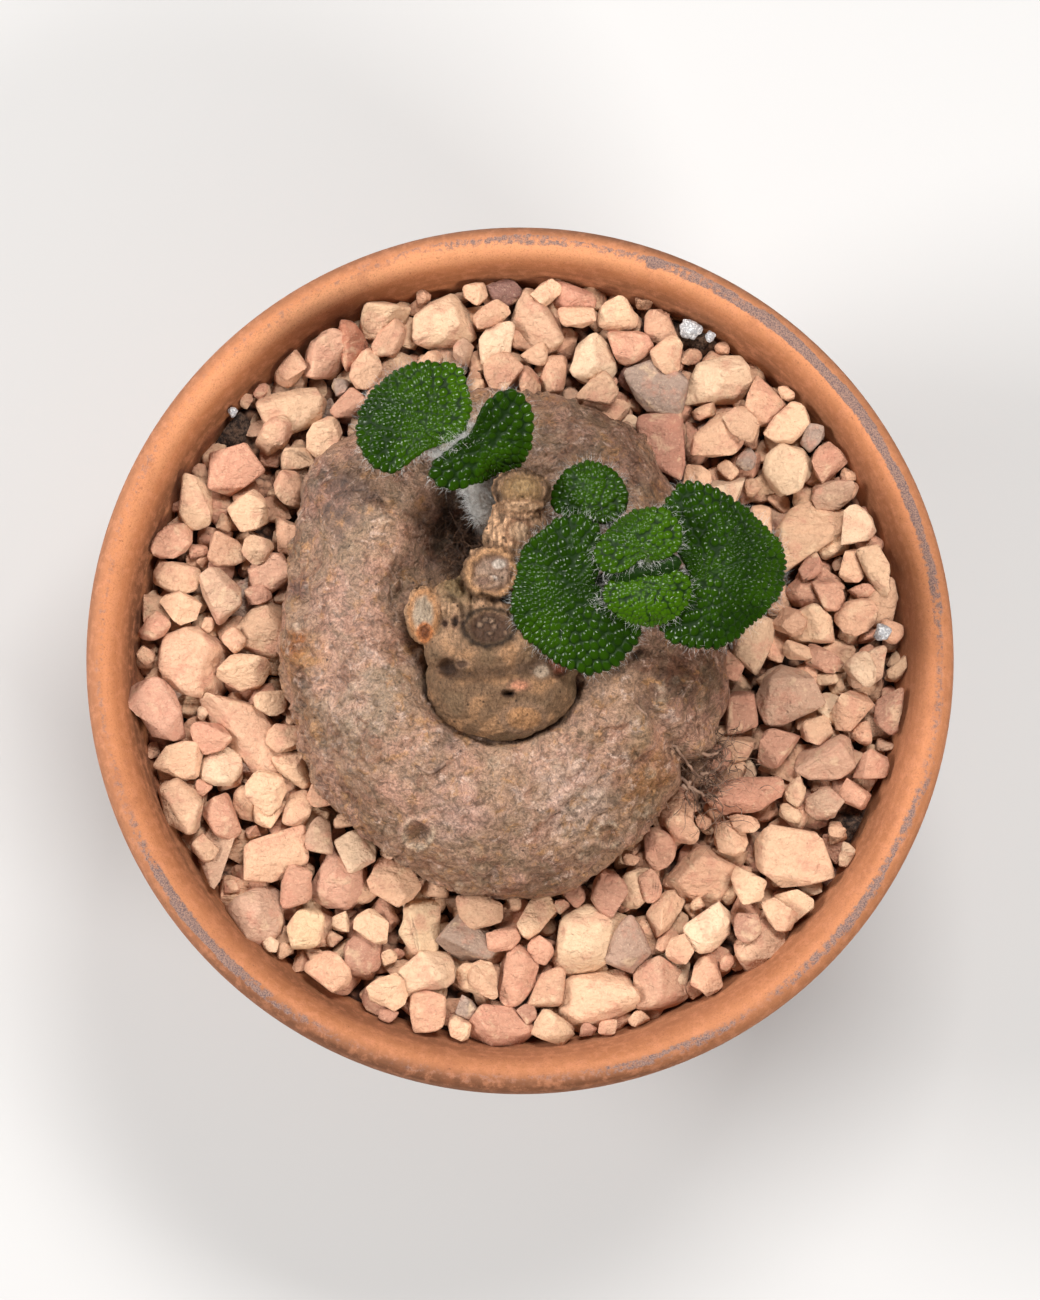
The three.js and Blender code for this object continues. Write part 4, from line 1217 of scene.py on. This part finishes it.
def wool_on_shoot(chance, path, count):
    """Hairs on the upper half of a shoot, which point outwards and a little ahead."""
    path = curve_through(path, 200)
    step = chance.integers(84, 198, count)
    ahead = path[step + 1] - path[step - 1]
    out = sideways(chance, ahead)
    roots = path[step] + out * (SHOOT_RADIUS - 0.3)
    directions = out + 0.7 * unit(ahead) + chance.normal(0, 0.6, out.shape)
    return hairs(chance, roots, directions, chance.uniform(1, 3, count), WOOL_RADIUS, 0.6)


felt = wool_finish("pale_felt", (204, 195, 183), (252, 246, 238))
shaded_felt = wool_finish("shaded_felt", (92, 84, 66), (150, 142, 120))
green_felt = wool_finish("green_felt", (26, 40, 10), (64, 84, 34))
pale_wool = wool_finish("white_wool", (230, 222, 212), (255, 253, 248))
wool_chance = np.random.default_rng(31)
for side, path in SHOOTS.items():
    stem = f"{side}_stem"
    skin = felt if side == "left" else shaded_felt
    shoot = add_piece(f"{side}_shoot", shoot_shape(path), skin, "wool", stem)
    # painted shade on the felt lower down in the hollow
    paint(shoot, "painted_shade_low", 1 - smooth_step(places_of(shoot)[:, 2], *PAINTED_SHADE_LEVELS))
    wool = wool_on_shoot(wool_chance, path, WOOL_HAIRS[side])
    add_piece(f"{side}_shoot_wool", wool, pale_wool, "wool", stem)


# The leaves: round to heart-shaped, dark and glossy. Between the sunken veins the whole blade is puffed up in
# blisters, fine in the middle and coarse at the edge, where they stand out as rounded teeth.
EDGE_CURL = 2.5  # the higher, the nearer to the edge the droop and the cup begin
EDGE_WAVES = 5
BLADE_THICKNESS = 1
LEAF_GRAIN = 0.21  # size of the faces of the blades' upper skin
EDGE_COARSENESS = 0.17  # how fast the blisters grow towards the edge
BLISTER_RISE = 0.45  # height of a blister, as a share of its width
TOOTH = 0.07  # how far the outermost blisters push the edge out
VEIN_TURNS = [-1.8, -0.9, 0.05, 0.8, 1.7]  # from the direction of the tip
STALK_RADIUS = 1.3
STALK_STEPS = 12  # along a stalk
# For each leaf: its shoot and the place of its middle; the direction of its foot in degrees; how its blade
# slopes towards the tip (rise) and across (bank); the radii of its outline at equal steps round the middle;
# how far the tip hangs (droop), the foot end turns up (cup) and the edge waves (ripple, phase); the width of
# its blisters; how young and pale it is (youth); and how much painted light makes it paler towards its right
# side, or painted shade darker there where this is below 0.
LEAVES = {
    "left_leaf_large": {
        "shoot": "left", "middle": (-25.3, 55.1, 147), "foot": 315, "rise": 0.02, "bank": 0.04,
        "outline": [
            13.6, 14.4, 16.2, 14, 12.5, 11.6, 11.1, 11.6, 12.6, 13.6, 14.7, 14.7, 10.4, 8.9, 9.8, 12.4,
        ],
        "droop": 6, "cup": 2.4, "ripple": 0.7, "phase": 1, "blister": 1.25, "youth": 0.3, "painted_light_right": 0.6,
    },
    "left_leaf_folded": {
        "shoot": "left", "middle": (-7.8, 47.5, 146.6), "foot": 135, "rise": -0.3, "bank": 0,
        "outline": [9.9, 11.7, 14.5, 15.1, 10.6, 6.5, 5.3, 5.6, 8.5, 14.6, 13.5, 8.8, 6.6, 5.9, 6.6, 8.3],
        "droop": 2.6, "cup": 0.6, "ripple": 0.5, "phase": 0, "blister": 1.25, "youth": 0.1, "painted_light_right": 0.1,
    },
    "right_leaf_small": {
        "shoot": "right", "middle": (16.3, 37.1, 146.6), "foot": 305, "rise": -0.04, "bank": 0,
        "outline": [9, 8.1, 7.5, 7.2, 7.3, 7.4, 7.5, 7.8, 8.7, 9.5, 7.6, 6.5, 6.6, 8, 9.1, 9.4],
        "droop": 3, "cup": 0, "ripple": 0.4, "phase": 2, "blister": 1.3, "youth": 0.1, "painted_light_right": 0,
    },
    "right_leaf_near": {
        "shoot": "right", "middle": (10.4, 13, 149.6), "foot": 24, "rise": -0.03, "bank": -0.14,
        "outline": [
            11.6, 7.6, 12.5, 18.2, 18.1, 15.6, 14.1, 11.9, 12.1, 13, 13.2, 13.9, 16.6, 19.8, 20.3, 19.4,
        ],
        "droop": 3.4, "cup": 0.4, "ripple": 0.8, "phase": 3, "blister": 1.25, "youth": 0.05, "painted_light_right": -0.1,
    },
    "right_leaf_far": {
        "shoot": "right", "middle": (47.9, 19.3, 150), "foot": 191, "rise": -0.04, "bank": 0.04,
        "outline": [14, 14.3, 13.6, 14.7, 17.1, 21.7, 20.2, 12.9, 9.2, 10, 21, 20.1, 17.8, 14.3, 13.8, 14.1],
        "droop": 5.5, "cup": -0.5, "ripple": 0.8, "phase": 5, "blister": 1.2, "youth": 0, "painted_light_right": 0.1,
    },
    "right_leaf_young_back": {
        "shoot": "right", "middle": (27.3, 25.3, 155.8), "foot": 298, "rise": 0.06, "bank": 0,
        "outline": [10.2, 10.4, 10, 8.2, 7, 6.3, 6.1, 6.8, 8.6, 10.8, 10.6, 7.6, 5, 4.8, 6.8, 8.8],
        "droop": 4.2, "cup": 0.8, "ripple": 0.3, "phase": 1, "blister": 1.15, "youth": 0.6, "painted_light_right": 0,
    },
    "right_leaf_young_front": {
        "shoot": "right", "middle": (29.5, 12.2, 154.8), "foot": 86, "rise": 0.1, "bank": 0,
        "outline": [9.9, 10.6, 9, 6, 5.2, 5.2, 6.4, 9.1, 10.1, 8.3, 7, 6.3, 6.6, 6.5, 7.4, 8.5],
        "droop": 4.4, "cup": -1.2, "ripple": 0.3, "phase": 4, "blister": 0.95, "youth": 0.9, "painted_light_right": 0.1,
    },
}


def blade_points(leaf, p, q):
    """Points of a leaf's middle layer. p and q run over a disc of radius 1."""
    out, angle = np.hypot(p, q), np.arctan2(q, p)
    from_tip = angle - math.radians(leaf["foot"] + 180)
    radius = out * outline_radius(leaf["outline"], angle)
    slope = radius * (leaf["rise"] * np.cos(from_tip) + leaf["bank"] * np.sin(from_tip))
    tip_share = 0.5 + 0.5 * np.cos(from_tip)
    curl = out ** EDGE_CURL * (leaf["cup"] * (1 - tip_share) - leaf["droop"] * tip_share)
    wave = leaf["ripple"] * out ** 3 * np.sin(EDGE_WAVES * angle + leaf["phase"])
    x, y, z = leaf["middle"]
    level = z + slope + curl + wave
    return np.stack([x + radius * np.cos(angle), y + radius * np.sin(angle), level], axis=-1)


def blade_normals(leaf, p, q):
    step = 0.04
    along_p = blade_points(leaf, p + step, q) - blade_points(leaf, p - step, q)
    along_q = blade_points(leaf, p, q + step) - blade_points(leaf, p, q - step)
    return unit(np.cross(along_p, along_q))


def blister_map(leaf, out, angle):
    """A leaf's flat map, on which its blisters all lie one apart."""
    radius = out * outline_radius(leaf["outline"], angle) * (1 / leaf["blister"] - EDGE_COARSENESS * out)
    return np.stack([radius * np.cos(angle), radius * np.sin(angle)], axis=-1)


def blister_middles(leaf, chance):
    """Rings of blisters from the edge inwards, each pushed a little out of line."""
    edge = blister_map(leaf, 1.0, np.linspace(0, TURN, 64, endpoint=False))
    reach = np.hypot(*edge.T).mean()
    rings = round(reach)
    middles = []
    for ring in range(rings):
        share = 1 - (ring + 0.42) / rings
        count = max(round(TURN * reach * share * 1.04), 1)
        turns = (np.arange(count) + chance.random()) / count * TURN
        jitter = 0.15 if ring == 0 else 0.32
        place = blister_map(leaf, 1.0, turns) * share
        middles.append(place + chance.normal(0, jitter, place.shape))
    return np.vstack(middles)


def blister_levels(spots, middles, chance):
    """How far the skin is puffed up at each spot of the map, from 0 in the clefts to 1."""
    proud = chance.uniform(0.72, 1.12, len(middles))
    levels = []
    for some in np.array_split(spots, 20):
        distances = np.linalg.norm(some[:, None] - middles[None], axis=2)
        order = np.argpartition(distances, 1, axis=1)[:, :2]
        nearest, second = np.take_along_axis(distances, order, axis=1).T
        dome = np.clip(1 - (nearest / 0.9) ** 2, 0.02, 1) ** 0.75
        cleft = 1 - 0.55 * np.exp(-((second - nearest) / 0.16))
        levels.append(dome * cleft * proud[order[:, 0]])
    return np.concatenate(levels)


def from_veins(leaf, places):
    """How far points lie from the main veins, seen from above."""
    turn = math.radians(leaf["foot"])
    start = blade_points(leaf, 0.5 * math.cos(turn), 0.5 * math.sin(turn))[:2]
    nearest = np.full(len(places), np.inf)
    for vein in VEIN_TURNS:
        ahead = np.array([math.cos(turn + math.pi + vein), math.sin(turn + math.pi + vein)])
        along = (places[:, :2] - start) @ ahead
        across = (places[:, :2] - start) @ np.array([-ahead[1], ahead[0]])
        across += 0.5 * np.sin(0.5 * along + 3 * vein)
        nearest = np.minimum(nearest, np.where(along > 0, np.abs(across), np.inf))
    return nearest


def leaf_blade(leaf, chance):
    """The blade, with how far each point is puffed up and whether it lies on the under side."""
    cells = 2 * round(max(leaf["outline"]) / LEAF_GRAIN)
    blade, fine_points = pillow(cells, cells // 4)
    p, q = on_disc(blade)
    out, angle = np.hypot(p, q), np.arctan2(q, p)
    levels = blister_levels(blister_map(leaf, out, angle), blister_middles(leaf, chance), chance)
    upper = np.arange(len(p)) < fine_points
    at_edge = smooth_step(out, 0.82, 1)
    grown = 1 + at_edge * (TOOTH * levels - 0.4 * TOOTH)
    places = blade_points(leaf, p * grown, q * grown)
    veins = 1 - 0.5 * bell(from_veins(leaf, places), 0.4) * smooth_step(1 - out, 0.04, 0.3)
    levels *= veins
    width = leaf["blister"] * (1 + 0.6 * out ** 2)
    round_edge = np.sqrt(np.clip((1 - out) / 0.05, 0.02, 1))
    puffed = BLADE_THICKNESS / 2 + BLISTER_RISE * width * (levels - 0.25)
    offset = np.where(upper, puffed, -BLADE_THICKNESS / 2 + 0.25 * (levels - 0.5)) * round_edge
    move_points(blade, places + offset[:, None] * blade_normals(leaf, p, q))
    bmesh.ops.recalc_face_normals(blade, faces=blade.faces[:])
    return blade, levels, np.where(upper, 0, 1) * smooth_step(1 - out, 0, 0.05)


def leaf_finish():
    leaf = Finish("leaf_skin", 0.12, Specular_IOR_Level=0.2)
    green = leaf.mix(leaf.levels(leaf.cloudy(7, 3), 0.35, 0.65), tone(25, 49, 2), tone(35, 64, 3))
    # the youth attribute holds painted light as well as how young the leaf is
    green = leaf.mix(leaf.painted("youth"), green, tone(55, 89, 4))
    # painted shade: darker in the clefts between the blisters
    green = leaf.mix(leaf.levels(leaf.painted("puffed"), 0.55, 0.15), green, tone(17, 40, 1))
    colour = leaf.mix(leaf.painted("under"), green, tone(150, 150, 118))
    in_cleft = leaf.levels(leaf.painted("puffed"), 0.6, 0.3)
    dull = leaf.combined("MAXIMUM", in_cleft, leaf.painted("under"))
    rough = leaf.levels(dull, 0, 1, 0.13, 0.6)
    return leaf.done(colour, leaf.raised(leaf.cloudy(0.3, 2), 0.03), rough)


leaf_skin = leaf_finish()
leaf_chance = np.random.default_rng(41)
for name, leaf in LEAVES.items():
    shape, puffed, under = leaf_blade(leaf, leaf_chance)
    blade = add_piece(f"{name}_blade", shape, leaf_skin, "leaf", name)
    paint(blade, "puffed", puffed)
    paint(blade, "under", under)
    places = places_of(blade)
    # painted light: paler towards the right side of the leaf, laid into the youth attribute
    painted_light_right = leaf["painted_light_right"] * (places[:, 0] - leaf["middle"][0]) / 12
    paint(blade, "youth", np.clip(leaf["youth"] + painted_light_right + 0.5 * lumps_at(places, 8, 23), 0, 1))


def stalk_path(leaf):
    """From the end of the shoot to under the leaf's foot."""
    turn = math.radians(leaf["foot"])
    meets, ends = (
        blade_points(leaf, out * math.cos(turn), out * math.sin(turn)) - (0, 0, below)
        for out, below in ((1.05, 1.5), (0.45, 1))
    )
    return curve_through([SHOOTS[leaf["shoot"]][-1], meets, ends], STALK_STEPS)


for side, skin in (("left", shaded_felt), ("right", green_felt)):
    leaves = {name: leaf for name, leaf in LEAVES.items() if leaf["shoot"] == side}
    radii = np.full(STALK_STEPS + 1, STALK_RADIUS)
    stalks = joined([tube(stalk_path(leaf), radii, 16) for leaf in leaves.values()])
    add_piece(f"{side}_stalks", stalks, skin, "wool", *leaves)


# The hairs: long, fine and nearly white on the edges and under sides of the leaves, on the stalks and round
# the growing points, and dark brown and curly in the hollow beside the crown.
EDGE_HAIRS = 5  # for each millimetre of edge
UNDER_HAIRS = 1.1  # for each square millimetre
TOP_HAIRS = 14  # on each leaf
STALK_HAIRS = {"left": 260, "right": 90}  # on each stalk
HAIR_RADIUS = 0.04
# Woolly places: the ends of a line, how far the hairs stray from it, and how many there are.
TUFTS = [
    ((-20.6, 45.6, 147.4), (-12.4, 50.4, 148), 0.75, 800),
    ((24, 19, 154.4), (33, 19.6, 155), 1.1, 30),
    ((17, 12.6, 150), (19.4, 10, 150.4), 1, 60),
]
# The growing tip between the two young leaves: middle and half sizes of its two lumps.
GROWING_TIP = [((25, 18.7, 153.2), (5.6, 3, 1.8)), ((31.4, 20, 153.4), (5.8, 3, 1.8))]
PIT_HAIRS = 420
PIT_BED = (-13, 30), (8.4, 9.5), (118, 127)  # where they stand: middle, half sizes, lowest and highest level


def hairs_on_leaf(chance, leaf):
    """Hairs that point outwards at the edge, downwards on the under side, and any way on top."""
    outline = np.array(leaf["outline"])
    edge_count = int(EDGE_HAIRS * TURN * outline.mean())
    under_count = int(UNDER_HAIRS * math.pi * (outline ** 2).mean())
    turns = chance.uniform(0, TURN, edge_count + under_count + TOP_HAIRS)
    out = np.concatenate([
        chance.uniform(0.93, 1, edge_count),
        np.sqrt(chance.uniform(0.1, 0.95, under_count)),
        chance.uniform(0.2, 0.95, TOP_HAIRS),
    ])
    side = np.repeat([-0.3, -1, 1], [edge_count, under_count, TOP_HAIRS])
    p, q = out * np.cos(turns), out * np.sin(turns)
    normals = blade_normals(leaf, p, q)
    roots = blade_points(leaf, p, q) + 0.4 * side[:, None] * normals
    aside = chance.normal(0, 1, turns.shape) * (side > 0)
    outward = np.stack([np.cos(turns + aside), np.sin(turns + aside), 0 * turns], axis=1)
    directions = outward * (1.2 - 0.5 * np.abs(side))[:, None] + 0.7 * side[:, None] * normals
    directions += chance.normal(0, 0.5, directions.shape)
    lengths = np.concatenate([
        chance.uniform(1, 3.2, edge_count),
        chance.uniform(1, 2.4, under_count),
        chance.uniform(0.6, 1.4, TOP_HAIRS),
    ])
    return hairs(chance, roots, directions, lengths, HAIR_RADIUS, 0.5)


def hairs_on_stalk(chance, leaf):
    path = stalk_path(leaf)
    count = STALK_HAIRS[leaf["shoot"]]
    step = chance.integers(1, 7, count)
    ahead = path[step + 1] - path[step - 1]
    out = sideways(chance, ahead)
    roots = path[step] + chance.random((count, 1)) * (path[step + 1] - path[step]) + out * STALK_RADIUS * 0.9
    return hairs(chance, roots, out + 0.3 * ahead, chance.uniform(1, 2.4, count), HAIR_RADIUS, 0.5)


def tuft(chance, start, end, spread, count):
    roots = np.array(start) + chance.random((count, 1)) * np.subtract(end, start)
    roots += chance.normal(0, spread, (count, 3))
    directions = chance.normal(0, 1, (count, 3)) * (1, 1, 0.5) + (0, 0, 0.6)
    return hairs(chance, roots, directions, chance.uniform(0.8, 2, count), 0.045, 0.5)


hair_chance = np.random.default_rng(51)
edge_hairs = joined([hairs_on_leaf(hair_chance, leaf) for leaf in LEAVES.values()])
add_piece("leaf_hairs", edge_hairs, pale_wool, "wool", *LEAVES)
tufts = [hairs_on_stalk(hair_chance, leaf) for leaf in LEAVES.values()]
tufts += [tuft(hair_chance, *place) for place in TUFTS]
add_piece("stalk_hairs", joined(tufts), pale_wool, "wool", *LEAVES)

growing_tip = bmesh.new()
for middle, half in GROWING_TIP:
    add_lump(growing_tip, middle, half)
tip_lift = 0.9 * np.abs(lumps_at(points_of(growing_tip), 1.3, 27))
lift_skin(growing_tip, tip_lift)
tip = add_piece("growing_tip", growing_tip, leaf_skin, "leaf", "right_leaf_young_front")
# painted shade: the tip takes the dark colour of the clefts, deep in the hollow between the young leaves
paint(tip, "puffed", np.clip(1.6 * tip_lift, 0, 0.4))
for name in ("under", "youth"):
    paint(tip, name, np.zeros(len(tip_lift)))


def pit_shape():
    chance = np.random.default_rng(61)
    turns, out = chance.uniform(0, TURN, PIT_HAIRS), np.sqrt(chance.random(PIT_HAIRS))
    (x, y), (half_x, half_y), levels = PIT_BED
    x, y = x + half_x * out * np.cos(turns), y + half_y * out * np.sin(turns)
    roots = np.stack([x, y, chance.uniform(*levels, PIT_HAIRS)], axis=1)
    directions = chance.normal(0, 1, (PIT_HAIRS, 3)) * (1, 1, 0.5) + (0, 0, 0.7)
    return hairs(chance, roots, directions, chance.uniform(3, 8, PIT_HAIRS), 0.09, 0.8, 5)


def pit_finish():
    pit = Finish("dark_hairs", 0.8)
    return pit.done(pit.mix(pit.levels(pit.cloudy(2), 0.4, 0.6), tone(52, 36, 26), tone(120, 86, 62)))


add_piece("pit_hairs", pit_shape(), pit_finish(), "bark", "tuber")


# A plain pale floor, soft light from boxes on the left, on the right and above the far side, and a camera
# that looks nearly straight down, as the photograph does.
CAMERA_DISTANCE = 1100
CAMERA_TILT = math.radians(3)
CAMERA_AIM = Vector((0, 1.85, PAN_HEIGHT))
SENSOR = 36
VIEW_WIDTH = 250.328  # at the level of the rim
LIT_PLACE = Vector((0, 0, 0.1))  # that the lights point at, in metres
ROOM_LIGHT = 0.1
FLOOR_TONE = (0.5, 0.49, 0.48, 1)
FLOOR_HALF = 3  # half the width of the floor, in metres

camera_data = bpy.data.cameras.new("camera")
camera_data.sensor_fit = "HORIZONTAL"
camera_data.sensor_width = SENSOR
camera_data.lens = SENSOR * CAMERA_DISTANCE / VIEW_WIDTH
camera = bpy.data.objects.new("camera", camera_data)
view = Vector((0, -math.sin(CAMERA_TILT), math.cos(CAMERA_TILT)))
camera.location = (CAMERA_AIM + CAMERA_DISTANCE * view) * MM
camera.rotation_euler = (CAMERA_TILT, 0, 0)
bpy.context.scene.collection.objects.link(camera)
bpy.context.scene.camera = camera


def soft_box(name, place, size, watts, glints=True):
    """A lamp with a broad face, placed in metres. Without glints it isn't mirrored in what is glossy."""
    light = bpy.data.lights.new(name, "AREA")
    light.shape = "RECTANGLE"
    light.size, light.size_y = size
    light.energy = watts
    lamp = bpy.data.objects.new(name, light)
    lamp.location = place
    lamp.visible_glossy = glints
    lamp.rotation_euler = (LIT_PLACE - lamp.location).to_track_quat("-Z", "Y").to_euler()
    bpy.context.scene.collection.objects.link(lamp)


soft_box("left_light", (-0.98, 0.1, 0.72), (0.45, 0.45), 16.4)
soft_box("right_light", (0.65, -0.6, 0.9), (0.45, 0.35), 12.5, glints=False)
soft_box("far_light", (0.2, 0.6, 1.15), (0.5, 0.25), 14)

world = bpy.data.worlds.new("room")
bpy.context.scene.world = world
world.use_nodes = True
background = world.node_tree.nodes["Background"]
background.inputs["Color"].default_value = (1, 1, 1, 1)
background.inputs["Strength"].default_value = ROOM_LIGHT
bpy.context.scene.view_settings.view_transform = "Standard"

floor_shape = bmesh.new()
bmesh.ops.create_grid(floor_shape, x_segments=1, y_segments=1, size=FLOOR_HALF)
floor_mesh = bpy.data.meshes.new("floor")
floor_shape.to_mesh(floor_mesh)
floor_shape.free()
floor = bpy.data.objects.new("floor", floor_mesh)
bpy.context.scene.collection.objects.link(floor)
floor_finish = Finish("floor_paint", 0.9)
floor_finish.shader.inputs["Base Color"].default_value = FLOOR_TONE
floor_mesh.materials.append(floor_finish.material)
